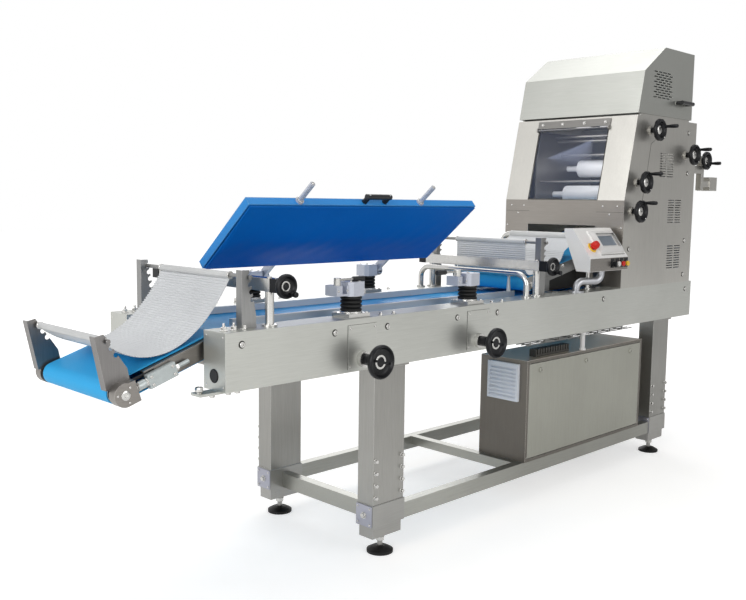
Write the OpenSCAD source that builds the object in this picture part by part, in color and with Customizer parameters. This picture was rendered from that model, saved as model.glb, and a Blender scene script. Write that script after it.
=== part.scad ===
// Baguette moulder: a belt table on four legs, a hinged pressure board on
// jacks, two hanging wire mats and a sheeting head at the infeed end.
// X runs along the table towards the head, the operator stands at -Y.

/* [Beams] */
// Length of the two side beams
beam_len = 3060; // [2900:10:3300]
// Height of a side beam
beam_h = 185; // [170:5:210]
// Width of a side beam
beam_w = 115; // [105:1:120]
// Height of the beam tops above the floor
table_z = 900; // [850:5:980]
// Wall of a folded beam
beam_wall = 4; // [2:0.5:6]
// Side of the square tubes between the beams
tie_tube = 60; // [40:2:70]
// Width of an access cover on the front beam
cover_w = 138; // [120:2:150]
// Height of an access cover
cover_h = 155; // [145:1:165]
// Thickness of an access cover
cover_t = 2; // [1:0.5:4]

/* [Legs] */
// Width of a leg along the table
leg_w = 160; // [120:5:180]
// Depth of a leg across the table
leg_d = 80; // [60:2:90]
// Wall of a leg tube
leg_wall = 4; // [2:0.5:6]
// Centre of the left legs
leg_left_x = -795; // [-1000:5:-700]
// Free length between the cabinet and the right legs
cab_leg_gap = 129; // [60:1:200]
// Height of the shoe's top above the floor
shoe_z = 200; // [190:2:230]
// Height of the shoe's collar
shoe_h = 83; // [70:1:100]
// How far the collar stands out round the leg
shoe_lip = 4; // [2:0.5:8]
// Height of the shoe's lower block
shoe_foot_h = 45; // [30:1:55]
// Diameter of a foot pad
foot_d = 100; // [70:2:120]
// Height of a foot pad
foot_h = 25; // [18:1:30]
// Diameter of a foot spindle
spindle_d = 20; // [14:1:28]
// Height of a base rail
rail_h = 60; // [40:2:70]
// Width of a base rail
rail_w = 40; // [25:1:50]

/* [Cabinet] */
// Length of the switch cabinet
cab_l = 981; // [800:5:1000]
// Left end of the cabinet
cab_x = 50; // [20:2:60]
// Depth of the cabinet
cab_d = 253; // [200:2:300]
// Height of the cabinet
cab_h = 452; // [400:2:480]
// Wall of the cabinet
cab_wall = 3; // [2:0.5:5]
// Border round the cabinet door
cab_border = 14; // [10:1:20]
// Thickness of the cabinet door
door_t = 16; // [10:1:20]
// Side of the square vent cover
vent_s = 165; // [140:1:180]

/* [Main belt] */
// Width of the main belt
belt_w = 414; // [360:2:430]
// Thickness of the belts
belt_t = 3; // [2:0.5:4]
// Depth of the belt's top below the beam tops
belt_drop = 15; // [8:1:20]
// Diameter of the drive drum
drum_d = 70; // [62:1:76]
// Diameter of the nose roller
nose_d = 63; // [54:1:66]
// Place of the drive drum along the table
drum_x = 1120; // [1000:5:1180]
// Place where the belt starts to slope down
knuckle_x = -1470; // [-1490:1:-1450]
// Length from the knuckle to the nose roller
slope_l = 345; // [320:1:370]
// Depth of the nose roller's axis below the beam tops
nose_drop = 165; // [150:1:175]
// Diameter of the roller shafts
shaft_d = 25; // [18:1:28]

/* [Wire mats] */
// How much narrower than the main belt the wire mats are
mat_narrow = 4; // [0:1:20]
// Thickness of the wire mats
mat_t = 3; // [2:0.5:4]
// Hanging length of the outfeed mat between its rods
mat_l = 556; // [530:1:560]
// Diameter of the mat rods
mat_rod_d = 14; // [10:1:16]
// Thickness of the notched plates
rack_t = 4; // [3:0.5:6]
// Height of the notched plates on the beams
rack_h = 185; // [170:1:210]
// Length of the notched plates at the nose
arm_h = 164; // [150:1:175]
// Lean of the notched plates at the nose
arm_lean = 12; // [6:1:15]

/* [Bridges] */
// Place of the outfeed bridge
out_x = -1323; // [-1340:1:-1315]
// Place of the infeed bridge
in_x = 152; // [140:1:156]
// Height of the bridges' underside above the beam tops
bridge_h = 114; // [105:1:125]
// Width of a bridge beam
bridge_w = 40; // [36:1:44]
// Height of a bridge beam
bridge_t = 42; // [38:1:48]
// Diameter of the bridge columns
column_d = 30; // [24:1:34]
// Diameter of the width screws
screw_d = 16; // [12:1:18]
// Distance of the guide rails from the belt's edge
guide_in = 52; // [45:1:70]
// Width of a guide rail
guide_w = 20; // [14:1:26]
// Height of a guide rail
guide_h = 24; // [18:1:30]
// Diameter of the guard tubes
guard_d = 25; // [20:1:28]
// Height of the low guard tube above the beam tops
guard_low_h = 100; // [92:1:110]
// Height of the high guard tube above the beam tops
guard_high_h = 250; // [240:1:260]

/* [Jacks and board] */
// Place of the left jacks
jack_left_x = -950; // [-1000:1:-900]
// Place of the right jacks
jack_right_x = -305; // [-340:1:-270]
// Diameter of the bellows
bellows_d = 78; // [70:1:90]
// Height of the bellows
bellows_h = 57; // [50:1:64]
// Diameter of a jack stem
stem_d = 36; // [28:1:40]
// Side of a jack head
head_s = 80; // [70:1:86]
// Height of a jack head
head_h = 50; // [44:1:56]
// Length of the pressure board
board_l = 1230; // [1100:5:1240]
// Width of the pressure board
board_w = 370; // [340:2:380]
// Thickness of the pressure board
board_t = 32; // [24:1:36]
// Angle at which the board stands open
board_open = 40; // [30:1:50]
// Deepest sag of the board's lining
lining_sag = 24; // [10:1:28]
// Diameter of the board's studs
stud_d = 20; // [14:1:24]
// Length of the board's studs
stud_l = 98; // [90:1:100]

/* [Infeed conveyor] */
// Place of the infeed nose roller
infeed_x = 245; // [240:1:260]
// Height of the infeed nose roller above the beam tops
infeed_h = 42; // [40:1:50]
// Slope of the infeed conveyor
infeed_a = 11.5; // [10:0.5:12.5]
// Length between the infeed rollers
infeed_l = 900; // [860:5:930]
// Diameter of the infeed rollers
infeed_d = 58; // [50:1:60]
// Height of the infeed side plates
infeed_plate_h = 50; // [44:1:54]

/* [Head] */
// Front of the head
head_x = 790; // [780:2:800]
// Length of the head's base
head_l = 715; // [690:5:740]
// Height of the upright front above the beam tops
head_knee_h = 425; // [415:1:435]
// Height of the head above the beam tops
head_top_h = 838; // [820:2:850]
// How far the front leans back
head_lean = 95; // [85:1:105]
// Wall of the head's panels
head_wall = 4; // [3:0.5:5]
// Diameter of the sheeting rollers
roller_d = 92; // [80:1:94]
// Length of the sheeting rollers
roller_l = 260; // [220:2:300]
// Height of the hood
hood_h = 336; // [320:2:350]
// Wall of the hood
hood_wall = 3; // [2:0.5:5]
// Gap between the hood and the head
hood_gap = 10; // [8:1:12]

/* [Handwheels] */
// Diameter of the jack wheels
jack_wheel_d = 120; // [100:2:130]
// Diameter of the width wheels
width_wheel_d = 80; // [70:2:90]
// Diameter of the head wheels
head_wheel_d = 110; // [90:2:120]
// Length of the cranks' grips
grip_l = 62; // [50:1:70]

/* [Console] */
// Left side of the console
console_x = 431; // [425:1:440]
// Length of the console
console_l = 327; // [310:1:335]
// Height of the console's front above the beam tops
console_h = 99; // [94:1:110]
// Diameter of the console's stand tube
stand_d = 34; // [28:1:38]
// Diameter of the push buttons
button_d = 24; // [18:1:28]

/* [Clearances] */
// Radial clearance of a running shaft
run_gap = 0.05; // [0.02:0.01:0.1]
// Clearance between moving faces
face_gap = 0.3; // [0.3:0.1:0.6]

/* [Hidden] */
$fn = 48;
steel = "#a9a59d";
bright = "#c9ccce";
black = "#1d1d1f";
blue = "#2f86d6";
white = "#e8e8ea";

// Across the table, from the main belt outwards
roller_over = 2;
plate_gap = 4;
plate_t = 6;
beam_gap = 16;
mat_w = belt_w - mat_narrow;
frame_y = belt_w / 2 + roller_over + plate_gap + plate_t;
beam_in = frame_y + beam_gap;
beam_y = beam_in + beam_w / 2;
half_w = beam_in + beam_w;
beam_z = table_z - beam_h;
beam_end = beam_len / 2;

// Main belt: the loop round the nose, the knuckle and the drum
belt_z = table_z - belt_drop;
nose_x = knuckle_x - slope_l;
nose_z = table_z - nose_drop;
nose_r = nose_d / 2 + face_gap + belt_t;
drum_r = drum_d / 2 + face_gap + belt_t;
drum_z = belt_z - drum_r;
knuckle_rise = belt_z - nose_z;
slope_a = atan2(knuckle_rise, slope_l) - asin(nose_r / norm([slope_l, knuckle_rise]));
slope_n = [-sin(slope_a), cos(slope_a)];
return_z = drum_z - drum_r;
nose_low = [nose_x, nose_z] - nose_r * slope_n;
skid_x = nose_low[0] + (return_z - nose_low[1]) / tan(slope_a);
skid_r = 18;
bed_t = 4;
bar_w = 30;
bar_h = 16;

// Discharge: measures along the slope, from the nose roller's axis
plate_u0 = 92;
plate_u1 = slope_l + 60;
plate_low = -28;
plate_top = 24;
block_u0 = 89;
block_l = 100;
block_h = 45;
block_t = 26;
block_w = -3;
nose_block_r = 36;
nose_block_t = 34;
nose_block_y = frame_y + 6;

// Notched plates and the rods in their notches
notch_r = mat_rod_d / 2 + 1;
notch_depth = 5;
notch_step = 24;
rack_w = 52;
rack_top_w = 24;
rack_low = 40;
arm_w = 76;
arm_top_w = 26;
arm_low = 44;
flange_w = 30;
rack_x = out_x - 107;
rack_y = beam_y + 10;
in_rack_x = in_x + bridge_w / 2 + 10;
in_rack_w = 34;
in_rack_h = 255;
arm_foot = [nose_x - 40, nose_z + 14];
arm_y = nose_block_y;
rod_over = 12;
sleeve_t = 4;
sleeve_r = mat_rod_d / 2 + face_gap + sleeve_t;

// Bridges
bridge_z = table_z + bridge_h;
bridge_top = bridge_z + bridge_t;
bridge_axis = bridge_z + bridge_t / 2;
bridge_half = half_w - 20;
bridge_wall = 3;
end_block_t = 40;
guide_left = out_x - 45;
guide_right = in_x + 33;
guide_z = belt_z + 3;
guide_travel = 20;
guide_slot_w = 13;
guide_pin_d = 12;
nut_l = 30;
low_x = in_x - 77;
guard_high_x = 640;
guard_bend = 50;
guard_high_y = beam_in + 20;
foot_ring_t = 6;

// Jacks and pressure board
jack_y = beam_y - 2;
base_l = 100;
base_d = 90;
base_t = 15;
base_ring_t = 3;
bellows_z = table_z + base_t + base_ring_t;
jack_head_z = bellows_z + bellows_h;
stem_low = table_z - 100;
spigot_d = stem_d + 14;
spigot_l = 40;
hinge_z = jack_head_z + 21;
hinge_pin_d = 16;
fork_l = 56;
fork_d = 60;
fork_h = 37;
fork_low = 3;
fork_gap = 1;
stud_side = 58;
lever_d = 10;
lever_l = 125;
lever_z = jack_head_z + head_h + 9;
pivot_d = 12;
lug_t = 14;
board_x = -1240;
board_front = -board_w / 2;
board_back = board_w / 2;
handle_x = -625;
handle_l = 132;
handle_h = 42;
handle_d = 22;
lining_t = 4;
jack_axis_z = beam_z + 42;
jack_shaft_d = 20;
bush_d = 58;
bush_t = 18;
jack_hub_l = 62;
jack_hub_d = 44;
knob_d = 46;

// Infeed conveyor
infeed_z = table_z + infeed_h;
infeed_r = infeed_d / 2 + face_gap + belt_t;
infeed_w = belt_w - 10;
infeed_y = infeed_w / 2 + 10;
infeed_plate_t = 4;

// Head
head_z = table_z + head_top_h;
knee_z = table_z + head_knee_h;
head_back = head_x + head_l;
lean_a = atan2(head_lean, head_z - knee_z);
lean_l = norm([head_lean, head_z - knee_z]);
mouth_back = head_back - 65;
window_y0 = -200;
window_y1 = 208;
window_low = 4;
window_top = lean_l - 46;
slot_z0 = table_z + 85;
slot_z1 = table_z + 300;
slot_wide_z = table_z + 215;
carrier_y = 212;
carrier_t = 8;
carrier_x0 = head_x + 70;
carrier_x1 = head_back - 110;
carrier_z0 = knee_z - 70;
carrier_z1 = head_z - 60;
upper_x = head_x + 370;
upper_z = knee_z + 170;
lower_x = head_x + 240;
lower_z = knee_z + 31;
sheet_gap = 6;
roller_shaft_d = 30;
flap_t = 6;
flap_gap = 4;
flap_pin_d = 8;
hood_z = head_z + hood_gap;
hood_pin_d = 10;
hood_axis_x = mouth_back + 12;
hood_axis_z = hood_z + 2;
hood_lip = 12;
hood_lug_y = 250;
hood_handle_l = 120;
hood_handle_x = head_x + 525;
hood_handle_z = hood_z + 76;

// Air slots: the middle of each group along the table and in height
louvre_at = [[head_x + 405, knee_z + 182], [head_x + 510, knee_z - 51], [head_x + 521, knee_z - 287]];
louvre_rows = 10;
louvre_pitch = 12.6;
louvre_l = 64;
louvre_h = 5;
louvre_gap = 12;
hood_vent_at = [head_x + 331, hood_z + 150];
hood_vent_rows = 11;
hood_vent_cols = 4;
hood_vent_pitch = 12.3;
hood_vent_l = 36;
hood_vent_h = 6;
hood_vent_gap = 8;

// Handwheels on the head: place along the table and height
duster_at = [head_x + 225, head_z - 67];
upper_at = [head_x + 607, head_z - 171];
lower_at = [head_x + 116, knee_z + 88];
tray_at = [head_x + 77, knee_z - 52];
rear_at = [head_back + 139, head_z - 190];
wheel_shaft_d = 16;
wheel_hub_d = 30;
wheel_hub_l = 30;
boss_d = 44;
boss_t = 8;
rim_r = 11;
grip_d = 20;
wheel_front = half_w + boss_t + face_gap + wheel_hub_l + 2 * rim_r;

// Rear bracket
bracket_y = -half_w + 20;
bracket_t = 30;
bracket_box_x = head_back + 225;
bracket_box_l = 86;
bracket_low = head_z - 350;
cover_d = 45;

// Console
console_z = table_z + console_h;
console_front = -half_w - 50;
console_knee = console_z + 61;
console_top = console_z + 194;
console_back = -half_w + 94;
console_slope_y = -half_w + 50;
console_base_y = -half_w + 24;
console_a = atan2(console_top - console_knee, console_slope_y - console_front);
console_slope_l = norm([console_top - console_knee, console_slope_y - console_front]);
console_wall = 3;
stand_bend = 35;
stand_foot = [console_x + 24, -half_w + 37];
stand_head = [console_x + 156, -half_w - 10];
button_travel = 5;
button_pitch = 40;
button_x0 = console_x + 190;
button_z = console_z + 30;
estop_at = [62, 58];
estop_d = 38;
estop_h = 26;

// Base
rail_z = shoe_z - 82;
leg_y = half_w - leg_d / 2 - 12;
rail_y = half_w - 12 - rail_w;
leg_right_x = cab_x + cab_l + cab_leg_gap + leg_w / 2;
guide_y = belt_w / 2 - guide_in;
leg_flange_t = 8;
cab_z = rail_z + rail_h;
cab_front = -half_w + 5;
door_gap = 3;
door_pin_d = 6;
door_pin_y = cab_front + door_pin_d / 2 + 0.2;
door_pin_z = cab_z + cab_border + door_gap + 4;

// The part's own origin: below the middle of its box, on the floor
arm_tip_x = arm_foot[0] - arm_h * sin(arm_lean);
left_end = arm_tip_x - rack_t;
right_end = bracket_box_x + bracket_box_l;
front_end = -wheel_front - grip_l;
mid_x = (left_end + right_end) / 2;
back_end = max(half_w, bridge_half + end_block_t);
mid_y = (front_end + back_end) / 2;

// Hyperbolic functions for a hanging mat
function sinh(v) = (exp(v) - exp(-v)) / 2;
function cosh(v) = (exp(v) + exp(-v)) / 2;
function asinh(v) = ln(v + sqrt(v * v + 1));

// Catenary constant for a span, a rise and a length, by halving an interval
function sag_scale(span, chord, low = 40, high = 4000, n = 40) =
  let (mid = (low + high) / 2)
  n == 0 ? mid
  : 2 * mid * sinh(span / (2 * mid)) > chord
    ? sag_scale(span, chord, mid, high, n - 1)
    : sag_scale(span, chord, low, mid, n - 1);

// Points of a mat of length l that hangs from p to q, with p left of q
function hanging(p, q, l, n) =
  let (span = q[0] - p[0],
    rise = q[1] - p[1],
    c = sag_scale(span, sqrt(l * l - rise * rise)),
    lean = asinh(rise / (2 * c * sinh(span / (2 * c)))),
    x0 = (p[0] + q[0]) / 2 - c * lean,
    z0 = p[1] - c * cosh((p[0] - x0) / c))
  [for (i = [0 : n]) let (x = p[0] + span * i / n) [x, z0 + c * cosh((x - x0) / c)]];

// Points on an arc, from angle a0 to a1
function arc(centre, r, a0, a1, n) =
  [for (i = [0 : n]) let (a = a0 + (a1 - a0) * i / n) centre + r * [cos(a), sin(a)]];

// Edge of a notched plate at height v, and the place of its notches
function rack_edge(v, w, w_top, low, h) = v < low ? w : w + (w_top - w) * (v - low) / (h - low);
function notch_at(i, w, w_top, low, h) =
  let (v = h - 22 - i * notch_step) [rack_edge(v, w, w_top, low, h) - notch_depth, v];
function leaned(p) = [p[0] * cos(arm_lean) - p[1] * sin(arm_lean),
           p[0] * sin(arm_lean) + p[1] * cos(arm_lean)];

upper_rod = [rack_x, table_z] + notch_at(0, rack_w, rack_top_w, rack_low, rack_h);
nose_rod = arm_foot + leaned(notch_at(0, arm_w, arm_top_w, arm_low, arm_h));
curl_rod = [in_rack_x, table_z] + notch_at(0, in_rack_w, in_rack_w, rack_low, in_rack_h);

// Moves a sub-part from the table's frame into the part's own
module placed() {
  translate([-mid_x, -mid_y, 0])
    children();
}

// A box between two corners
module span(a, b) {
  translate(a)
    cube(b - a);
}

// A round bar along Y
module bar_y(x, z, y0, y1, d) {
  translate([x, y1, z])
    rotate([90, 0, 0])
      cylinder(d = d, h = y1 - y0);
}

// A round bar along X
module bar_x(y, z, x0, x1, d) {
  translate([x0, y, z])
    rotate([0, 90, 0])
      cylinder(d = d, h = x1 - x0);
}

// An outline in X and Z, drawn out along Y
module slab_y(y0, y1) {
  translate([0, y1, 0])
    rotate([90, 0, 0])
      linear_extrude(height = y1 - y0)
        children();
}

// An outline in Y and Z, drawn out along X
module slab_x(x0, x1) {
  translate([x0, 0, 0])
    rotate([90, 0, 90])
      linear_extrude(height = x1 - x0)
        children();
}

module both_sides() {
  children();
  mirror([0, 1, 0])
    children();
}

// A sheet of thickness t along a path
module sheet_outline(path, t) {
  last = len(path) - 1;
  side = [for (i = [0 : last])
    let (d = path[min(i + 1, last)] - path[max(i - 1, 0)])
    [-d[1], d[0]] / norm(d) * t / 2];
  polygon(concat(
    [for (i = [0 : last]) path[i] + side[i]],
    [for (i = [last : -1 : 0]) path[i] - side[i]]));
}

// A wheel on a shaft, with a crank grip; its axis is +Z, its hub starts at zero
module handwheel(d, hub_d, hub_l, rod_d, rod_l, grip, turn) {
  r = d / 2;
  web = 8;
  rotate_extrude() {
    square([hub_d / 2, hub_l + web]);
    translate([0, hub_l])
      square([r - rim_r, web]);
    translate([r - rim_r, hub_l + rim_r])
      circle(r = rim_r, $fn = 32);
  }
  translate([0, 0, -rod_l])
    cylinder(d = rod_d, h = rod_l + 1);
  if (grip > 0)
    rotate(turn)
      translate([r - rim_r, 0, hub_l + rim_r])
        rotate_extrude()
          polygon([[0, 0], [6, 0], [6, rim_r + 2], [grip_d * 0.36, rim_r + 4],
              [grip_d / 2, rim_r + grip * 0.6], [grip_d * 0.4, rim_r + grip],
              [0, rim_r + grip]]);
}

// Turns +Z to the operator's side, at a place along the table and a height
module to_front(at, y) {
  translate([at[0], y, at[1]])
    rotate([90, 0, 0])
      children();
}

// Measures along the slope of the discharge end, from the nose roller's axis
module on_slope() {
  translate([nose_x, 0, nose_z])
    rotate([0, -slope_a, 0])
      children();
}

// Measures along the slope of the infeed conveyor
module on_infeed() {
  translate([infeed_x, 0, infeed_z])
    rotate([0, -infeed_a, 0])
      children();
}

// Measures on the leaning front of the head: X goes in, Z goes up the slope
module on_front() {
  translate([head_x, 0, knee_z])
    rotate([0, lean_a, 0])
      children();
}

// Measures on the console's panel: Y goes up the slope, Z stands out of it
module on_panel() {
  translate([0, console_front, console_knee])
    rotate([console_a, 0, 0])
      children();
}

// The board's closed frame, turned open about its hinge
module board_pose() {
  translate([0, jack_y, hinge_z])
    rotate([-board_open, 0, 0])
      translate([0, -jack_y, 0])
        children();
}

module at_jacks() {
  for (x = [jack_left_x, jack_right_x])
    translate([x, 0, 0])
      children();
}

module side_beam() {
  difference() {
    span([-beam_end + beam_wall, beam_in, beam_z], [beam_end - beam_wall, half_w, table_z]);
    span([-beam_end, beam_in + beam_wall, beam_z + beam_wall],
      [beam_end, half_w - beam_wall, table_z - beam_wall]);
    at_jacks() {
      bar_y(0, jack_axis_z, beam_in - 1, half_w + 1, jack_shaft_d + 2 * run_gap);
      translate([0, jack_y, table_z - 2 * beam_wall])
        cylinder(d = spigot_d + 2 * face_gap, h = 3 * beam_wall);
    }
  }
  for (s = [-1, 1])
    translate([s * (beam_end - beam_wall / 2), beam_y, beam_z + beam_h / 2])
      cube([beam_wall, beam_w, beam_h], center = true);
}

module side_beams() {
  placed() color(steel) {
    mirror([0, 1, 0])
      side_beam();
    side_beam();
    at_jacks()
      difference() {
        span([-cover_w / 2, -half_w - cover_t, beam_z + 9],
          [cover_w / 2, -half_w, beam_z + 9 + cover_h]);
        bar_y(0, jack_axis_z, -half_w - 10, -half_w + 1, jack_shaft_d + 2 * run_gap);
      }
    span([-beam_end - 70, -beam_y - 25, beam_z - 8], [-beam_end + 95, -beam_y + 25, beam_z]);
  }
}

module frame_rails() {
  placed() color(steel) {
    for (x = [out_x + 25, in_x, leg_right_x])
      difference() {
        span([x - tie_tube / 2, -beam_in, beam_z + 8],
          [x + tie_tube / 2, beam_in, beam_z + 8 + tie_tube]);
        span([x - tie_tube / 2 + 3, -half_w, beam_z + 11],
          [x + tie_tube / 2 - 3, half_w, beam_z + 5 + tie_tube]);
      }
    both_sides()
      span([leg_left_x + leg_w / 2 + shoe_lip, rail_y, rail_z],
        [leg_right_x - leg_w / 2 - shoe_lip, rail_y + rail_w, rail_z + rail_h]);
    for (x = [leg_left_x, leg_right_x])
      span([x - rail_w / 2, -leg_y + leg_d / 2 + shoe_lip, rail_z],
        [x + rail_w / 2, leg_y - leg_d / 2 - shoe_lip, rail_z + rail_h]);
    for (x = [cab_x - 12, cab_x + cab_l - 60])
      span([x - rail_w / 2, -rail_y, rail_z + rail_h - rail_w],
        [x + rail_w / 2, rail_y, rail_z + rail_h]);
  }
}

module at_legs() {
  for (x = [leg_left_x, leg_right_x], s = [-1, 1])
    translate([x, s * leg_y, 0])
      children();
}

module legs() {
  low = shoe_z - shoe_h + 6;
  placed() color(steel)
    at_legs() {
      difference() {
        translate([-leg_w / 2, -leg_d / 2, low])
          cube([leg_w, leg_d, beam_z - leg_flange_t - low]);
        translate([-leg_w / 2 + leg_wall, -leg_d / 2 + leg_wall, low - 1])
          cube([leg_w - 2 * leg_wall, leg_d - 2 * leg_wall, beam_z - leg_flange_t - low]);
      }
      translate([-leg_w / 2 - 12, -leg_d / 2 - 8, beam_z - leg_flange_t])
        cube([leg_w + 24, leg_d + 16, leg_flange_t]);
    }
}

module leg_shoes() {
  low = shoe_z - shoe_h;
  block_z = low - shoe_foot_h;
  placed() color(bright)
    at_legs() {
      difference() {
        translate([-leg_w / 2 - shoe_lip, -leg_d / 2 - shoe_lip, low])
          cube([leg_w + 2 * shoe_lip, leg_d + 2 * shoe_lip, shoe_h]);
        translate([-leg_w / 2, -leg_d / 2, low + 6])
          cube([leg_w, leg_d, shoe_h]);
      }
      translate([-leg_w / 2 + 5, -leg_d / 2 + 5, block_z])
        cube([leg_w - 10, leg_d - 10, shoe_foot_h]);
      translate([0, 0, foot_h])
        cylinder(d = spindle_d, h = block_z - foot_h);
      translate([0, 0, block_z - 14])
        cylinder(d = spindle_d * 1.7, h = 14, $fn = 6);
    }
}

module foot_pads() {
  rim = foot_h * 0.4;
  placed() color(black)
    at_legs()
      rotate_extrude()
        polygon([[0, 0], [foot_d / 2, 0], [foot_d / 2, rim], [foot_d * 0.3, foot_h - 4],
            [spindle_d * 0.9, foot_h], [0, foot_h]]);
}

module cabinet_shell() {
  plate_y = cab_front + cab_d - 40;
  placed() color(steel)
    difference() {
      span([cab_x, cab_front, cab_z], [cab_x + cab_l, cab_front + cab_d, cab_z + cab_h]);
      span([cab_x + cab_wall, cab_front + door_t + 6, cab_z + cab_wall],
        [cab_x + cab_l - cab_wall, cab_front + cab_d - cab_wall, cab_z + cab_h - cab_wall]);
      span([cab_x + cab_border, cab_front - 1, cab_z + cab_border],
        [cab_x + cab_l - cab_border, cab_front + door_t + 7, cab_z + cab_h - cab_border]);
      bar_x(door_pin_y, door_pin_z, cab_x + cab_border - 8, cab_x + cab_l - cab_border + 8,
         door_pin_d + 2 * run_gap);
    }
  placed() color(bright) {
    span([cab_x + 40, plate_y, cab_z + 30], [cab_x + cab_l - 40, plate_y + 3, cab_z + cab_h - 30]);
    for (x = [cab_x + 80, cab_x + cab_l - 80])
      bar_y(x, cab_z + cab_h / 2, plate_y + 3, cab_front + cab_d - cab_wall, 20);
    for (i = [0 : 3])
      translate([cab_x + 90 + i * 170, plate_y - 110, cab_z + 170])
        cube([110, 110, 180]);
    span([cab_x + 90, plate_y - 60, cab_z + 70], [cab_x + cab_l - 90, plate_y, cab_z + 120]);
  }
}

module vent_grille() {
  z0 = cab_z + cab_h - 20 - vent_s;
  y0 = cab_front + 40;
  fins = 8;
  pitch = (vent_s - 24) / fins;
  placed() color(white)
    difference() {
      span([cab_x - 14, y0, z0], [cab_x, y0 + vent_s, z0 + vent_s]);
      for (i = [0 : fins - 1])
        translate([cab_x - 14, y0 + 12, z0 + 12 + i * pitch])
          rotate([0, 35, 0])
            translate([-6, 0, 0])
              cube([12, vent_s - 24, pitch * 0.45]);
    }
}

module cable_run() {
  top = cab_z + cab_h;
  tray_z = beam_z - 26;
  tray_y = -beam_y;
  tray_w = 50;
  tray_x0 = cab_x + 20;
  tray_x1 = cab_x + cab_l - 60;
  wire = 4;
  pipe_x = cab_x + 440;
  comb_x = cab_x + 110;
  placed() color(white)
    translate([pipe_x, -beam_y - 45, top])
      cylinder(d = 20, h = beam_z - top);
  placed() color(bright) {
    for (s = [-1, 0, 1])
      span([tray_x0, tray_y + s * tray_w / 2 - wire / 2, tray_z],
        [tray_x1, tray_y + s * tray_w / 2 + wire / 2, tray_z + wire]);
    for (x = [tray_x0 + 30 : 110 : tray_x1]) {
      span([x, tray_y - tray_w / 2, tray_z], [x + wire, tray_y + tray_w / 2, tray_z + wire]);
      for (s = [-1, 1])
        span([x, tray_y + s * tray_w / 2 - wire / 2, tray_z],
          [x + wire, tray_y + s * tray_w / 2 + wire / 2, beam_z]);
    }
  }
  placed() color(black)
    difference() {
      span([comb_x, tray_y - 18, top], [comb_x + 260, tray_y + 18, top + 34]);
      for (i = [0 : 12])
        span([comb_x + 6 + i * 20, tray_y - 19, top + 10],
          [comb_x + 14 + i * 20, tray_y + 19, top + 35]);
    }
}

// The space inside the belt loop, drawn in from its outside by a depth
module belt_loop(depth, y) {
  bend = depth * tan(slope_a / 2);
  nose_in = nose_r - depth;
  drum_in = drum_r - depth;
  lap = 0.02;
  slab_y(-y, y)
    polygon([
      [nose_x, nose_z] + nose_in * slope_n,
      [knuckle_x + bend, belt_z - depth],
      [drum_x, belt_z - depth],
      [drum_x, return_z + depth],
      [skid_x - bend, return_z + depth],
      [nose_x, nose_z] - nose_in * slope_n]);
  bar_y(nose_x, nose_z, -y, y, 2 * nose_in + lap);
  bar_y(drum_x, drum_z, -y, y, 2 * drum_in + lap);
}

module main_belt() {
  placed() color(blue)
    difference() {
      belt_loop(0, belt_w / 2);
      belt_loop(belt_t, belt_w / 2 + 1);
    }
}

module belt_bed() {
  top = belt_z - belt_t - face_gap;
  left = knuckle_x + 14;
  right = drum_x - drum_r - 20;
  bays = 5;
  placed() color(bright) {
    span([left, -belt_w / 2 + 3, top - bed_t], [right, belt_w / 2 - 3, top]);
    for (i = [0 : bays])
      translate([left + 40 + i * (right - left - 80 - bar_w) / bays, -beam_in, top - bed_t - bar_h])
        cube([bar_w, 2 * beam_in, bar_h]);
    both_sides()
      difference() {
        span([drum_x - 38, beam_in - 12, drum_z - 38], [drum_x + 38, beam_in, drum_z + 38]);
        bar_y(drum_x, drum_z, beam_in - 13, beam_in + 1, shaft_d + 2 * run_gap);
      }
  }
}

// One side of the discharge end, at +Y
module discharge_side() {
  rod = 16;
  on_slope() {
    span([plate_u0, frame_y - plate_t, plate_low], [plate_u1, frame_y, plate_top]);
    span([plate_u0, frame_y - 14, plate_top], [slope_l - 10, frame_y + 6, plate_top + 5]);
    span([block_u0, frame_y, block_w - block_h / 2],
      [block_u0 + block_l, frame_y + block_t, block_w + block_h / 2]);
    bar_x(frame_y + block_t / 2, block_w, nose_block_r - 4, block_u0, rod);
    bar_x(frame_y + block_t / 2, block_w, nose_block_r + 16, block_u0 - 8, rod + 12);
    bar_x(frame_y + block_t / 2, block_w, block_u0 + block_l, block_u0 + block_l + 52, rod - 2);
    difference() {
      union() {
        bar_y(0, 0, nose_block_y, nose_block_y + nose_block_t, 2 * nose_block_r);
        span([0, nose_block_y, -nose_block_r], [nose_block_r + 6, nose_block_y + nose_block_t, 30]);
      }
      bar_y(0, 0, nose_block_y - 1, nose_block_y + nose_block_t - 8, shaft_d + 2 * run_gap);
    }
    span([slope_l + 4, frame_y, plate_low], [slope_l + 56, beam_in, plate_low + 34]);
  }
}

module discharge_frame() {
  skid_at = [skid_x, return_z] + (skid_r + face_gap) * [tan(slope_a / 2), -1];
  placed() color(bright) {
    discharge_side();
    mirror([0, 1, 0])
      discharge_side();
    on_slope()
      for (u = [plate_u0 + 60, plate_u0 + 200])
        bar_y(u, 0, -frame_y + plate_t, frame_y - plate_t, 18);
    bar_y(skid_at[0], skid_at[1], -beam_in, beam_in, 2 * skid_r);
  }
}

// A notched plate: its foot is at zero and its notches open on the +X edge
module rack_outline(w, w_top, low, h, notches) {
  difference() {
    polygon([[0, 0], [w, 0], [w, low], [w_top, h], [0, h]]);
    for (i = [0 : notches - 1])
      translate(notch_at(i, w, w_top, low, h)) {
        circle(r = notch_r, $fn = 24);
        rotate(35)
          translate([0, -notch_r])
            square([30, 2 * notch_r]);
      }
  }
}

module rack(w, w_top, low, h, notches) {
  slab_y(0, rack_t)
    rack_outline(w, w_top, low, h, notches);
  span([-rack_t, 0, 0], [0, flange_w, h]);
}

module mat_rod(at, y) {
  bar_y(at[0], at[1], -y, y + rod_over, mat_rod_d);
}

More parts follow.
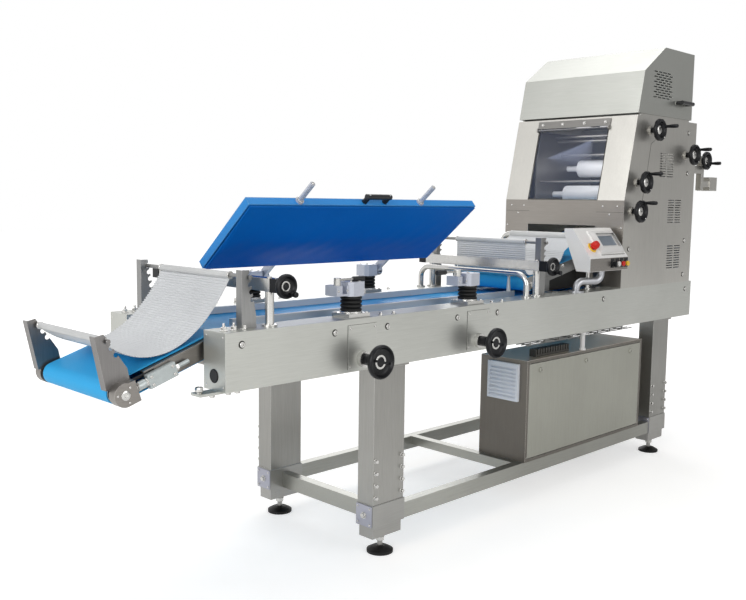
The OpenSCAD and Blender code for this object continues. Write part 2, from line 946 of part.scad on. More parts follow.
module mat_racks() {
  placed() color(steel)
    for (s = [-1, 1]) {
      translate([rack_x, s * rack_y - rack_t / 2, table_z])
        rack(rack_w, rack_top_w, rack_low, rack_h, 4);
      translate([in_rack_x, s * rack_y - rack_t / 2, table_z])
        rack(in_rack_w, in_rack_w, rack_low, in_rack_h, 4);
      translate([arm_foot[0], s * arm_y - (s > 0 ? rack_t : 0), arm_foot[1]])
        rotate([0, -arm_lean, 0])
          rack(arm_w, arm_top_w, arm_low, arm_h, 3);
    }
  placed() color(bright) {
    mat_rod(upper_rod, rack_y + rod_over);
    mat_rod(curl_rod, rack_y + rod_over);
    mat_rod(nose_rod, arm_y + rod_over);
  }
}

// A mat along a path, sewn round a bar at each end; bars are [place, radius]
module sewn_mat(path, y, bars) {
  difference() {
    union() {
      slab_y(-y, y)
        sheet_outline(path, mat_t);
      for (b = bars)
        bar_y(b[0][0], b[0][1], -y, y, 2 * (b[1] + sleeve_t));
    }
    for (b = bars)
      bar_y(b[0][0], b[0][1], -y - 1, y + 1, 2 * b[1]);
  }
}

module outfeed_mat() {
  inner = mat_rod_d / 2 + face_gap;
  drop = [0, sleeve_r - mat_t];
  placed() color(white)
    sewn_mat(hanging(nose_rod - drop, upper_rod - drop, mat_l, 28), mat_w / 2,
        [[nose_rod, inner], [upper_rod, inner]]);
}

// The curl mat drops from its rod, lies along the infeed belt and rises to the high guard
module curl_mat() {
  inner = mat_rod_d / 2 + face_gap;
  guard_at = [guard_high_x, table_z + guard_high_h];
  guard_in = guard_d / 2 + face_gap;
  turn = 45;
  lift = infeed_r + mat_t / 2 + 2;
  along = [cos(infeed_a), sin(infeed_a)];
  up = [-sin(infeed_a), cos(infeed_a)];
  base = [infeed_x, infeed_z] + lift * up;
  left_c = base + along * ((curl_rod[0] + turn - base[0] + turn * sin(infeed_a)) / along[0]) + turn * up;
  rise_a = 58;
  rise_r = 60;
  rise_d = [cos(rise_a), sin(rise_a)];
  foot = base + along * 230;
  rise_c = foot + rise_r * up;
  rise_end = rise_c + rise_r * [sin(rise_a), -cos(rise_a)];
  path = concat(
    [curl_rod - [0, sleeve_r - 2]],
    arc([curl_rod[0] + turn, left_c[1]], turn, 180, 270 + infeed_a, 8),
    arc(rise_c, rise_r, 270 + infeed_a, 270 + rise_a, 5),
    [rise_end + rise_d * 40, guard_at - [guard_in + 1, guard_in + 1] * 0.8]);
  placed() color(white)
    sewn_mat(path, mat_w / 2 - 6, [[curl_rod, inner], [guard_at, guard_in]]);
}

module bridge(x) {
  slot = guide_travel + guide_slot_w / 2 + 1;
  difference() {
    span([x - bridge_w / 2, -bridge_half, bridge_z], [x + bridge_w / 2, bridge_half, bridge_top]);
    span([x - bridge_w / 2 + bridge_wall, -half_w, bridge_z + bridge_wall],
      [x + bridge_w / 2 - bridge_wall, half_w, bridge_top - bridge_wall]);
    for (s = [-1, 1])
      span([x - guide_slot_w / 2, s * guide_y - slot, bridge_z - 1],
        [x + guide_slot_w / 2, s * guide_y + slot, bridge_z + bridge_wall + 1]);
  }
  for (s = [-1, 1])
    translate([x, s * (bridge_half - column_d / 2 - 12), table_z]) {
      cylinder(d = column_d, h = bridge_h);
      cylinder(d = column_d + 20, h = foot_ring_t);
    }
}

module bridges() {
  placed() color(bright) {
    bridge(out_x);
    bridge(in_x);
  }
}

module bridge_end_blocks() {
  placed() color(black)
    for (x = [out_x, in_x], s = [-1, 1])
      difference() {
        translate([x, s * (bridge_half + end_block_t / 2), bridge_axis])
          cube([bridge_w + 4, end_block_t, bridge_t + 2], center = true);
        bar_y(x, bridge_axis, -half_w - end_block_t, bridge_half + end_block_t - 12,
           screw_d + 2 * run_gap);
      }
}

module jack_bases() {
  placed() color(bright) {
    at_jacks() {
      both_sides()
        difference() {
          union() {
            translate([-base_l / 2, jack_y - base_d / 2, table_z])
              cube([base_l, base_d, base_t]);
            translate([0, jack_y, table_z + base_t])
              cylinder(d = bellows_d + 4, h = base_ring_t);
            translate([0, jack_y, table_z - spigot_l])
              cylinder(d = spigot_d, h = spigot_l);
          }
          translate([0, jack_y, table_z - spigot_l - 1])
            cylinder(d = stem_d + 2 * run_gap, h = spigot_l + base_t + base_ring_t + 2);
        }
      difference() {
        bar_y(0, jack_axis_z, -half_w - cover_t - bush_t, -half_w - cover_t, bush_d);
        bar_y(0, jack_axis_z, -half_w - cover_t - bush_t - 1, -half_w - cover_t + 1,
           jack_shaft_d + 2 * run_gap);
      }
    }
  }
}

module jack_bellows() {
  folds = 4;
  deep = 7;
  r = bellows_d / 2;
  inner = stem_d / 2 + 4;
  pitch = bellows_h / folds;
  placed() color(black)
    at_jacks()
      both_sides()
        translate([0, jack_y, bellows_z])
          rotate_extrude()
            polygon(concat(
              [[inner, 0]],
              [for (i = [0 : folds - 1], p = [[r - deep, i * pitch],
                [r, (i + 0.5) * pitch]]) p],
              [[r - deep, bellows_h], [inner, bellows_h]]));
}

// A bent tube across the table, on the beam tops at y
module guard(x, y, h) {
  translate([x, 0, table_z]) {
    both_sides() {
      translate([0, y, 0]) {
        cylinder(d = guard_d, h = h - guard_bend);
        cylinder(d = guard_d + 16, h = foot_ring_t);
      }
      translate([0, y - guard_bend, h - guard_bend])
        rotate([90, 0, 90])
          rotate_extrude(angle = 90)
            translate([guard_bend, 0])
              circle(d = guard_d);
    }
    bar_y(0, h, -y + guard_bend, y - guard_bend, guard_d);
  }
}

module guard_tubes() {
  placed() color(bright) {
    guard(low_x, beam_y + 14, guard_low_h);
    guard(guard_high_x, guard_high_y, guard_high_h);
  }
}

module infeed_frame() {
  drop = 12;
  outer = infeed_y + infeed_plate_t;
  placed() color(steel) {
    on_infeed() {
      both_sides()
        difference() {
          span([-infeed_r - 4, infeed_y, infeed_r - infeed_plate_h],
            [infeed_l + 50, infeed_y + infeed_plate_t, infeed_r + 3]);
          for (u = [0, infeed_l])
            bar_y(u, 0, infeed_y - 1, infeed_y + infeed_plate_t + 1, shaft_d + 2 * run_gap);
        }
      span([infeed_r + 8, -infeed_w / 2 + 3, infeed_r - belt_t - face_gap - bed_t],
        [infeed_l - infeed_r - 8, infeed_w / 2 - 3, infeed_r - belt_t - face_gap]);
      for (u = [120, infeed_l - 120])
        span([u, -infeed_y, infeed_r - belt_t - face_gap - bed_t - drop],
          [u + bar_w, infeed_y, infeed_r - belt_t - face_gap - bed_t]);
    }
    for (u = [110, 480])
      both_sides() {
        span([infeed_x + u - 20, outer, table_z],
          [infeed_x + u + 20, outer + 5, infeed_z + u * tan(infeed_a)]);
        span([infeed_x + u - 20, outer, table_z], [infeed_x + u + 20, beam_in + 30, table_z + 6]);
      }
  }
}

module infeed_loop(depth) {
  r = infeed_r - depth;
  translate([0, -r])
    square([infeed_l, 2 * r]);
  circle(r = r);
  translate([infeed_l, 0])
    circle(r = r);
}

module infeed_belt() {
  placed() color(blue)
    on_infeed()
      slab_y(-infeed_w / 2, infeed_w / 2)
        difference() {
          infeed_loop(0);
          infeed_loop(belt_t);
        }
}

// The head's side outline, drawn in by a wall; the top and the bottom run past it
module head_outline(wall, over) {
  slant = wall / cos(lean_a);
  run = head_lean / (head_z - knee_z);
  polygon([
    [head_x + wall, table_z - over],
    [head_x + wall, knee_z - (slant - wall) / run],
    [head_x + slant + head_lean + over * run, head_z + over],
    [head_back - wall, head_z + over],
    [head_back - wall, table_z - over]]);
}

// Slots under the louvres on the operator's side
module louvre_slots() {
  for (at = louvre_at, s = [-1, 1], i = [0 : louvre_rows - 1])
    translate([at[0] + s * (louvre_l + louvre_gap) / 2, -half_w,
         at[1] + (i - (louvre_rows - 1) / 2) * louvre_pitch])
      cube([louvre_l, 3 * head_wall, louvre_h], center = true);
}

module head_shell() {
  inner_y = half_w - head_wall;
  placed() color(steel) {
    difference() {
      slab_y(-half_w, half_w)
        head_outline(0, 0);
      slab_y(-inner_y, inner_y)
        head_outline(head_wall, 1);
      on_front()
        span([-20, window_y0, window_low], [20, window_y1, window_top]);
      span([head_x - 1, -infeed_y - 10, slot_z0],
        [head_x + head_wall + 1, infeed_y + 10, slot_wide_z]);
      span([head_x - 1, window_y0 + 4, slot_z0], [head_x + head_wall + 1, window_y1 - 4, slot_z1]);
      for (at = [duster_at, upper_at, lower_at, tray_at])
        bar_y(at[0], at[1], -half_w - 1, -inner_y + 1, wheel_shaft_d + 2 * run_gap);
      louvre_slots();
    }
    for (at = [duster_at, upper_at, lower_at, tray_at])
      difference() {
        bar_y(at[0], at[1], -half_w - boss_t, -half_w, boss_d);
        bar_y(at[0], at[1], -half_w - boss_t - 1, -half_w + 1, wheel_shaft_d + 2 * run_gap);
      }
    both_sides() {
      span([head_x + head_lean + 30, inner_y - 9, head_z - 40],
        [mouth_back - 20, inner_y, hood_z - face_gap]);
      span([head_x + 10, inner_y - 50, table_z], [head_back - 10, inner_y, table_z + head_wall]);
    }
    span([mouth_back - 10, -inner_y, head_z - head_wall], [head_back - head_wall, inner_y, head_z]);
    both_sides() {
      span([hood_axis_x - 9, hood_lug_y - 6, head_z],
        [hood_axis_x + 9, hood_lug_y + 6, hood_axis_z + 7]);
      bar_y(hood_axis_x, hood_axis_z, hood_lug_y - 50, hood_lug_y, hood_pin_d);
    }
  }
}

function roller_axes() = [
  [upper_x, upper_z], [upper_x + roller_d + sheet_gap, upper_z + 6],
  [lower_x, lower_z], [lower_x + roller_d + sheet_gap, lower_z - 6]];

module head_fittings() {
  rods = [[head_x + 115, knee_z + 94], [head_x + 245, head_z - 80],
      [head_x + 268, head_z - 102], [head_x + 303, knee_z + 239]];
  placed() color(bright) {
    both_sides() {
      difference() {
        span([carrier_x0, carrier_y, carrier_z0], [carrier_x1, carrier_y + carrier_t, carrier_z1]);
        on_front()
          span([-300, 0, -200], [24, half_w, lean_l]);
        for (at = roller_axes())
          bar_y(at[0], at[1], carrier_y - 1, carrier_y + carrier_t + 1,
            roller_shaft_d + 2 * run_gap);
      }
      for (x = [carrier_x0 + 80, carrier_x1 - 30], z = [carrier_z0 + 30, carrier_z1 - 30])
        bar_y(x, z, carrier_y + carrier_t, half_w - head_wall, 20);
    }
    for (at = rods)
      bar_y(at[0], at[1], -carrier_y, carrier_y, 14);
    on_front() {
      span([-5, window_y0 - 8, window_top - 2], [0, window_y1 + 8, window_top + 36]);
      for (y = [window_y0 - 8, window_y1 + 2])
        span([-14, y, window_top - 20], [0, y + 6, window_top]);
      bar_y(-6, window_top - 11, window_y0 - 8, window_y1 + 8, flap_pin_d);
    }
  }
}

module gear_motor() {
  y0 = carrier_y + carrier_t;
  box = 110;
  deep = 66;
  placed() color("#5b6f86") {
    difference() {
      span([lower_x - box / 2, y0, lower_z - box / 2],
        [lower_x + box / 2, y0 + deep, lower_z + box / 2]);
      bar_y(lower_x, lower_z, y0 - 1, y0 + deep + 1, roller_shaft_d + 2 * run_gap);
    }
    bar_x(y0 + deep / 2, lower_z - 62, lower_x - 20, lower_x + 180, 62);
    span([lower_x - 20, y0 + 8, lower_z - 66], [lower_x + 40, y0 + deep - 8, lower_z - box / 2]);
  }
}

module console_outline(inset) {
  polygon([
    [console_front + inset, console_z + inset],
    [console_front + inset, console_knee - inset * 0.4],
    [console_slope_y + inset * 0.4, console_top - inset],
    [console_back - inset, console_top - inset],
    [console_back - inset, console_top - 24],
    [console_base_y - inset, console_z + inset]]);
}

module at_buttons() {
  for (i = [0 : 3])
    to_front([button_x0 + i * button_pitch, button_z], console_front)
      children();
}

module console_case() {
  screen_l = 214;
  screen_w = 128;
  placed() color(bright)
    difference() {
      union() {
        difference() {
          slab_x(console_x, console_x + console_l)
            console_outline(0);
          slab_x(console_x + console_wall, console_x + console_l - console_wall)
            console_outline(console_wall);
        }
        on_panel()
          span([console_x + console_l - screen_l - 12, 22, -1],
            [console_x + console_l - 12, 22 + screen_w, 4]);
        at_buttons()
          translate([0, 0, -12])
            cylinder(d = button_d + 6, h = 16);
        on_panel()
          translate([estop_at[0] + console_x, estop_at[1], -20])
            cylinder(d = estop_d + 8, h = 24);
      }
      at_buttons()
        translate([0, 0, -20])
          cylinder(d = button_d - 6 + 2 * run_gap, h = 40);
      on_panel()
        translate([estop_at[0] + console_x, estop_at[1], -30])
          cylinder(d = estop_d - 14 + 2 * run_gap, h = 50);
    }
}

module console_stand() {
  run = norm(stand_head - stand_foot);
  turn = atan2(stand_head[1] - stand_foot[1], stand_head[0] - stand_foot[0]);
  base_t2 = 8;
  rise = (console_h - 2 * stand_bend) / 2;
  placed() color(bright)
    translate([stand_foot[0], stand_foot[1], table_z])
      rotate(turn) {
        cylinder(d = stand_d + 40, h = base_t2);
        cylinder(d = stand_d, h = rise);
        translate([stand_bend, 0, rise])
          rotate([90, -90, 0])
            rotate_extrude(angle = 90)
              translate([stand_bend, 0])
                circle(d = stand_d);
        translate([stand_bend, 0, rise + stand_bend])
          rotate([0, 90, 0])
            cylinder(d = stand_d, h = run - 2 * stand_bend);
        translate([run - stand_bend, 0, rise + 2 * stand_bend])
          rotate([90, 90, 0])
            rotate_extrude(angle = 90)
              translate([stand_bend, 0])
                circle(d = stand_d);
        translate([run, 0, rise + 2 * stand_bend])
          cylinder(d = stand_d, h = console_h - rise - 2 * stand_bend);
      }
}

module rear_bracket() {
  bar_x0 = rear_at[0] - 15;
  arm_z = bracket_low + 90;
  placed() color(bright) {
    difference() {
      span([head_back, -half_w + 60, knee_z - 40], [head_back + cover_d, half_w - 40, head_z - 24]);
      span([head_back - 1, -half_w + 63, knee_z - 37],
        [head_back + cover_d - 3, half_w - 43, head_z - 27]);
    }
    difference() {
      union() {
        span([bar_x0, bracket_y, bracket_low],
          [bar_x0 + 30, bracket_y + bracket_t, rear_at[1] + 25]);
        span([head_back, bracket_y, arm_z], [bar_x0, bracket_y + bracket_t, arm_z + 40]);
        span([bar_x0 + 30, bracket_y, bracket_low + 20],
          [bracket_box_x, bracket_y + bracket_t, bracket_low + 50]);
      }
      bar_y(rear_at[0], rear_at[1], bracket_y - 1, bracket_y + bracket_t + 1,
        wheel_shaft_d + 2 * run_gap);
    }
  }
  placed() color("#8d8a84")
    span([bracket_box_x, bracket_y - 4, bracket_low],
      [bracket_box_x + bracket_box_l, bracket_y + 70, bracket_low + 74]);
}

module drive_drum() {
  placed() color(bright) {
    bar_y(drum_x, drum_z, -belt_w / 2 - roller_over, belt_w / 2 + roller_over, drum_d);
    bar_y(drum_x, drum_z, -beam_in + 1, beam_in - 1, shaft_d);
  }
}

module nose_roller() {
  end = nose_block_y + nose_block_t - 9;
  placed() color(bright) {
    bar_y(nose_x, nose_z, -belt_w / 2 - roller_over, belt_w / 2 + roller_over, nose_d);
    bar_y(nose_x, nose_z, -end, end, shaft_d);
  }
}

module infeed_roller(u) {
  end = infeed_y + infeed_plate_t + 2;
  placed() color(bright)
    on_infeed() {
      bar_y(u, 0, -infeed_w / 2 - roller_over, infeed_w / 2 + roller_over, infeed_d);
      bar_y(u, 0, -end, end, shaft_d);
    }
}

module infeed_nose_roller() {
  infeed_roller(0);
}

module infeed_drive_roller() {
  infeed_roller(infeed_l);
}

module sheeting_roller(at, back) {
  placed() color(white) {
    bar_y(at[0], at[1], -roller_l / 2, roller_l / 2, roller_d);
    bar_y(at[0], at[1], -carrier_y - carrier_t - 6, back, roller_shaft_d);
  }
}

module upper_roller() {
  sheeting_roller(roller_axes()[0], carrier_y + carrier_t + 6);
}

module upper_back_roller() {
  sheeting_roller(roller_axes()[1], carrier_y + carrier_t + 6);
}

module lower_roller() {
  sheeting_roller(roller_axes()[2], carrier_y + carrier_t + 72);
}

module lower_back_roller() {
  sheeting_roller(roller_axes()[3], carrier_y + carrier_t + 6);
}

module jack_wheel(x) {
  back = half_w + cover_t + bush_t + face_gap;
  placed() color(black)
    to_front([x, jack_axis_z], -back)
      handwheel(jack_wheel_d, jack_hub_d, jack_hub_l, jack_shaft_d, back + jack_y, 0, 0);
}

module left_jack_wheel() {
  jack_wheel(jack_left_x);
}

module right_jack_wheel() {
  jack_wheel(jack_right_x);
}

module jack_heads() {
  chamfer = 14;
  s = head_s / 2;
  z1 = jack_head_z + head_h;
  placed() color(bright)
    at_jacks() {
      both_sides()
        translate([0, jack_y, stem_low])
          cylinder(d = stem_d, h = jack_head_z - stem_low + 1);
      difference() {
        for (k = [-1, 1])
          translate([0, k * jack_y, jack_head_z])
            linear_extrude(height = head_h)
              polygon([[-s, -s + chamfer], [-s + chamfer, -s], [s - chamfer, -s],
                [s, -s + chamfer],
                  [s, s - chamfer], [s - chamfer, s], [-s + chamfer, s],
                    [-s, s - chamfer]]);
        bar_x(jack_y, hinge_z, -head_s, head_s, hinge_pin_d + 2 * run_gap);
      }
      difference() {
        span([-s - fork_l, -jack_y - fork_d / 2, jack_head_z + fork_low],
          [-s + 2, -jack_y + fork_d / 2, jack_head_z + fork_low + fork_h]);
        span([-stud_side - stud_d / 2 - fork_gap, -jack_y - fork_d, hinge_z - stud_d / 2 - fork_gap],
          [-stud_side + stud_d / 2 + fork_gap, -jack_y + fork_d, z1]);
      }
      translate([-s - fork_l + 16, -jack_y - 14, jack_head_z + fork_low + fork_h - 1])
        cylinder(d = pivot_d, h = lever_z + lever_d / 2 + 4 - jack_head_z - fork_low - fork_h);
    }
}

// A clamp lever on the fork of a front jack; it points along the table
module clamp_lever(x, turn) {
  hub_z = jack_head_z + fork_low + fork_h + face_gap;
  placed() color(bright)
    translate([x - head_s / 2 - fork_l + 16, -jack_y - 14, 0])
      rotate(turn)
        difference() {
          union() {
            translate([0, 0, hub_z])
              cylinder(d = 26, h = lever_z + lever_d / 2 + 2 - hub_z);
            bar_x(0, lever_z, 0, lever_l - 20, lever_d);
            bar_x(0, lever_z, lever_l - 50, lever_l, lever_d + 8);
          }
          translate([0, 0, hub_z - 1])
            cylinder(d = pivot_d + 2 * run_gap, h = 60);
        }
}

module left_clamp_lever() {
  clamp_lever(jack_left_x, 0);
}

module right_clamp_lever() {
  clamp_lever(jack_right_x, 180);
}

module board_panel() {
  rim = 6;
  placed() color(blue)
    board_pose()
      difference() {
        span([board_x, board_front, -board_t / 2], [board_x + board_l, board_back, board_t / 2]);
        span([board_x + 40, board_front + 40, board_t / 2 - rim],
          [board_x + board_l - 40, board_back - 40, board_t / 2 + 1]);
      }
}

// Sag of the lining at shares u along and v across the board, v from front to back
function sag_at(u, v) =
  lining_sag * sin(180 * v) * sin(180 * v) * (v < 0.5 ? 0.35 + 0.65 * v * 2 : 1)
  * (0.55 + 0.45 * exp(-pow((u - 0.26) / 0.16, 2))) * pow(sin(180 * u), 0.3)
  * (1 + 0.12 * sin(540 * u + 90 * v));

module board_lining() {
  nu = 22;
  nv = 10;
  top = -board_t / 2;
  row = nv + 1;
  count = (nu + 1) * row;
  edge = 4;
  under = [for (i = [0 : nu], j = [0 : nv])
    [board_x + edge + (board_l - 2 * edge) * i / nu,
    board_front + edge + (board_w - 2 * edge) * j / nv,
    top - lining_t - sag_at(i / nu, pow(j / nv, 1.0))]];
  over = [for (p = under) [p[0], p[1], top]];
  function at(i, j) = i * row + j;
  low = [for (i = [0 : nu - 1], j = [0 : nv - 1], k = [0, 1])
    k == 0 ? [at(i, j), at(i + 1, j), at(i + 1, j + 1)] : [at(i, j), at(i + 1, j + 1), at(i, j + 1)]];
  rim = concat(
    [for (i = [0 : nu]) at(i, 0)],
    [for (j = [1 : nv]) at(nu, j)],
    [for (i = [nu - 1 : -1 : 0]) at(i, nv)],
    [for (j = [nv - 1 : -1 : 1]) at(0, j)]);
  n = len(rim);
  walls = [for (i = [0 : n - 1], k = [0, 1])
    let (a = rim[i], b = rim[(i + 1) % n])
    k == 0 ? [a, a + count, b + count] : [a, b + count, b]];
  lid = [for (f = low) [f[0], f[2], f[1]] + [count, count, count]];
  placed() color("#10509a")
    board_pose()
      polyhedron(points = concat(under, over), faces = concat(low, walls, lid));
}

module board_fittings() {
  lug_x = head_s / 2 + 0.5;
  placed() color(bright)
    board_pose()
      at_jacks() {
        span([lug_x, board_back, -board_t / 2], [lug_x + lug_t, jack_y, board_t / 2]);
        span([lug_x, board_back - 38, board_t / 2],
          [lug_x + lug_t, board_back + 20, board_t / 2 + 12]);
        bar_x(jack_y, 0, lug_x - head_s - 1, lug_x + lug_t + 8, hinge_pin_d);
        bar_x(jack_y, 0, lug_x, lug_x + lug_t, board_t);
        bar_x(jack_y, 0, lug_x + lug_t, lug_x + lug_t + 22, knob_d);
        translate([-stud_side, board_front, 0])
          rotate([90, 0, 0]) {
            cylinder(d = stud_d, h = stud_l);
            cylinder(d = stud_d + 12, h = 8);
          }
      }
  placed() color(black)
    board_pose()
      translate([handle_x, board_front, 0]) {
        for (s = [-1, 1])
          translate([s * (handle_l - handle_d) / 2, 0, 0])
            rotate([90, 0, 0])
              cylinder(d = handle_d, h = handle_h - handle_d / 2);
        bar_x(-handle_h + handle_d / 2, 0, -handle_l / 2, handle_l / 2, handle_d);
      }
}

module width_wheel(x) {
  back = bridge_half + end_block_t + face_gap;
  placed() color(black)
    to_front([x, bridge_axis], -back)
      handwheel(width_wheel_d, 34, 6, screw_d, back + bridge_half + 20, 24, -60);
}

module outfeed_wheel() {
  width_wheel(out_x);
}

module infeed_wheel() {
  width_wheel(in_x);
}

// A guide rail with its hanging pins and the nuts inside the bridges
module guide_rail(y) {
  inside = bridge_w - 2 * bridge_wall - 2 * face_gap;
  nut_z0 = bridge_z + bridge_wall + face_gap;
  nut_z1 = bridge_top - bridge_wall - face_gap;
  placed() color(bright) {
    span([guide_left, y - guide_w / 2, guide_z], [guide_right, y + guide_w / 2, guide_z + guide_h]);
    for (x = [out_x, in_x]) {
      translate([x, y, guide_z + guide_h])
        cylinder(d1 = guide_w, d2 = guide_pin_d, h = 60);
      translate([x, y, guide_z + guide_h + 59])
        cylinder(d = guide_pin_d, h = nut_z0 - guide_z - guide_h - 58);
      difference() {
        span([x - inside / 2, y - nut_l / 2, nut_z0], [x + inside / 2, y + nut_l / 2, nut_z1]);
        bar_y(x, bridge_axis, y - nut_l, y + nut_l, screw_d + 2 * run_gap);
      }
    }
  }
}

module front_guide_rail() {
  guide_rail(-guide_y);
}

module rear_guide_rail() {
  guide_rail(guide_y);
}

module window_flap() {
  axis_v = window_top - 11;
  placed() color("#cfe0ea")
    on_front()
      difference() {
        union() {
          span([-1, window_y0 + flap_gap, window_low + flap_gap],
            [flap_t - 1, window_y1 - flap_gap, axis_v - 3]);
          bar_y(-6, axis_v, window_y0 + flap_gap, window_y1 - flap_gap, 14);
        }
        bar_y(-6, axis_v, window_y0, window_y1, flap_pin_d + 2 * run_gap);
      }
}

module hood_outline(wall, over) {
  lean = wall / cos(lean_a);
  x0 = head_x + head_lean + 2;
  polygon([
    [x0 + lean - over * tan(lean_a), hood_z - over],
    [x0 + lean + hood_h * 0.14, hood_z + hood_h * 0.61 - wall * 0.6],
    [x0 + 242 + wall * 0.3, hood_z + hood_h - wall],
    [mouth_back - wall, hood_z + hood_h - wall],
    [mouth_back - wall, hood_z - over]]);
}

// Rows of air slots through both sides of the hood, every second row shifted by half a slot
module hood_vents() {
  step = hood_vent_l + hood_vent_gap;
  for (i = [0 : hood_vent_rows - 1], j = [0 : hood_vent_cols - 1])
    translate([hood_vent_at[0] + (j - (hood_vent_cols - 1) / 2 + (i % 2 - 0.5) / 2) * step, 0,
         hood_vent_at[1] + (i - (hood_vent_rows - 1) / 2) * hood_vent_pitch])
      cube([hood_vent_l, 3 * half_w, hood_vent_h], center = true);
}

module hood() {
  inner_y = half_w - hood_wall;
  barrel = 38;
  placed() color(steel)
    difference() {
      union() {
        difference() {
          slab_y(-half_w, half_w)
            hood_outline(0, 0);
          slab_y(-inner_y, inner_y)
            hood_outline(hood_wall, 1);
          hood_vents();
        }
        both_sides()
          span([head_x + head_lean + 40, inner_y - hood_lip, hood_z],
            [mouth_back - 20, inner_y, hood_z + 3]);
        both_sides() {
          bar_y(hood_axis_x, hood_axis_z, hood_lug_y - 7 - barrel, hood_lug_y - 7, 20);
          span([mouth_back - 1, hood_lug_y - 7 - barrel, hood_axis_z],
            [hood_axis_x, hood_lug_y - 7, hood_axis_z + 9]);
        }
      }
      both_sides()
        bar_y(hood_axis_x, hood_axis_z, hood_lug_y - 8 - barrel, hood_lug_y,
          hood_pin_d + 2 * run_gap);
    }
  placed() color(black)
    translate([hood_handle_x, -half_w, hood_handle_z]) {
      for (s = [-1, 1])
        translate([s * (hood_handle_l - 22) / 2, 0, 0])
          rotate([90, 0, 0])
            cylinder(d = 20, h = 36);
      bar_x(-36, 0, -hood_handle_l / 2, hood_handle_l / 2, 20);
    }
}

module head_wheel(at, turn) {
  back = half_w + boss_t + face_gap;
  placed() color(black)
    to_front(at, -back)
      handwheel(head_wheel_d, wheel_hub_d, wheel_hub_l, wheel_shaft_d,
        boss_t + head_wall + 20, grip_l, turn);
}

module duster_wheel() {
  head_wheel(duster_at, 25);
}

module upper_gap_wheel() {
  head_wheel(upper_at, 40);
}

module lower_gap_wheel() {
  head_wheel(lower_at, 70);
}

module tray_wheel() {
  head_wheel(tray_at, 70);
}

module rear_wheel() {
  back = -bracket_y + face_gap;
  placed() color(black)
    to_front(rear_at, -back)
      handwheel(head_wheel_d - 10, wheel_hub_d, 8, wheel_shaft_d, bracket_t + 12, 52, -20);
}

module cabinet_door() {
  edge = cab_border + door_gap;
  placed() color(steel) {
    difference() {
      span([cab_x + edge, cab_front, cab_z + edge],
        [cab_x + cab_l - edge, cab_front + door_t, cab_z + cab_h - edge]);
      span([cab_x + edge + 20, cab_front + 2, cab_z + edge + 20],
        [cab_x + cab_l - edge - 20, cab_front + door_t + 1, cab_z + cab_h - edge - 20]);
    }
    bar_x(door_pin_y, door_pin_z, cab_x + cab_border - 7, cab_x + cab_l - cab_border + 7, door_pin_d);
    for (x = [cab_x + 100, cab_x + cab_l / 2 - 20, cab_x + cab_l - 110])
      bar_y(x, cab_z + cab_h - edge - 34, cab_front - 5, cab_front + 1, 22);
  }
}

module emergency_stop() {
  placed() color("red")
    on_panel()
      translate([estop_at[0] + console_x, estop_at[1], 0])
        rotate_extrude()
          polygon([[0, -24], [estop_d / 2 - 7, -24], [estop_d / 2 - 7, 10],
              [estop_d / 2, 12], [estop_d / 2, 12 + estop_h * 0.6],
              [estop_d / 2 - 5, 12 + estop_h], [0, 12 + estop_h]]);
}

module push_button(i, shade) {
  placed() color(shade)
    to_front([button_x0 + i * button_pitch, button_z], console_front) {
      translate([0, 0, -14])
        cylinder(d = button_d - 6, h = 24);
      translate([0, 0, 4 + button_travel])
        cylinder(d = button_d, h = 6);
    }
}

module selector_switch() {
  placed() color(black)
    to_front([button_x0, button_z], console_front) {
      translate([0, 0, -14])
        cylinder(d = button_d - 6, h = 24);
      translate([0, 0, 4 + face_gap])
        cylinder(d = button_d, h = 6);
      translate([-4, -button_d / 2 + 1, 9])
        cube([8, button_d - 2, 14]);
    }
}

module start_button() {
  push_button(1, white);
}

module stop_button() {
  push_button(2, "red");
}

module reset_button() {
  push_button(3, "gold");
}

side_beams();
frame_rails();
legs();
leg_shoes();
foot_pads();
cabinet_shell();
vent_grille();
cable_run();
main_belt();
belt_bed();
discharge_frame();
mat_racks();
outfeed_mat();
curl_mat();
bridges();
bridge_end_blocks();
jack_bases();
jack_bellows();
guard_tubes();
infeed_frame();
infeed_belt();
head_shell();
head_fittings();
gear_motor();
console_case();
console_stand();
rear_bracket();
drive_drum();
nose_roller();
infeed_nose_roller();
infeed_drive_roller();
upper_roller();
upper_back_roller();
lower_roller();
lower_back_roller();
left_jack_wheel();
right_jack_wheel();
jack_heads();
left_clamp_lever();
right_clamp_lever();
board_panel();
board_lining();
board_fittings();
outfeed_wheel();
infeed_wheel();
front_guide_rail();
rear_guide_rail();
window_flap();
hood();
duster_wheel();
upper_gap_wheel();
lower_gap_wheel();
tray_wheel();
rear_wheel();
cabinet_door();
emergency_stop();
selector_switch();
start_button();
stop_button();
reset_button();
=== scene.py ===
"""Looks of the baguette moulder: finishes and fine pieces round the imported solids.

Pieces are modelled in millimetres in the table's frame, the one that the
part's source uses, and their meshes are moved into the part's own frame at
the end.
"""
import logging
import math
from dataclasses import dataclass, field, replace
from enum import Enum
from functools import reduce
from typing import Callable, Iterable, Sequence

import bmesh
import bpy
from mathutils import Matrix, Vector


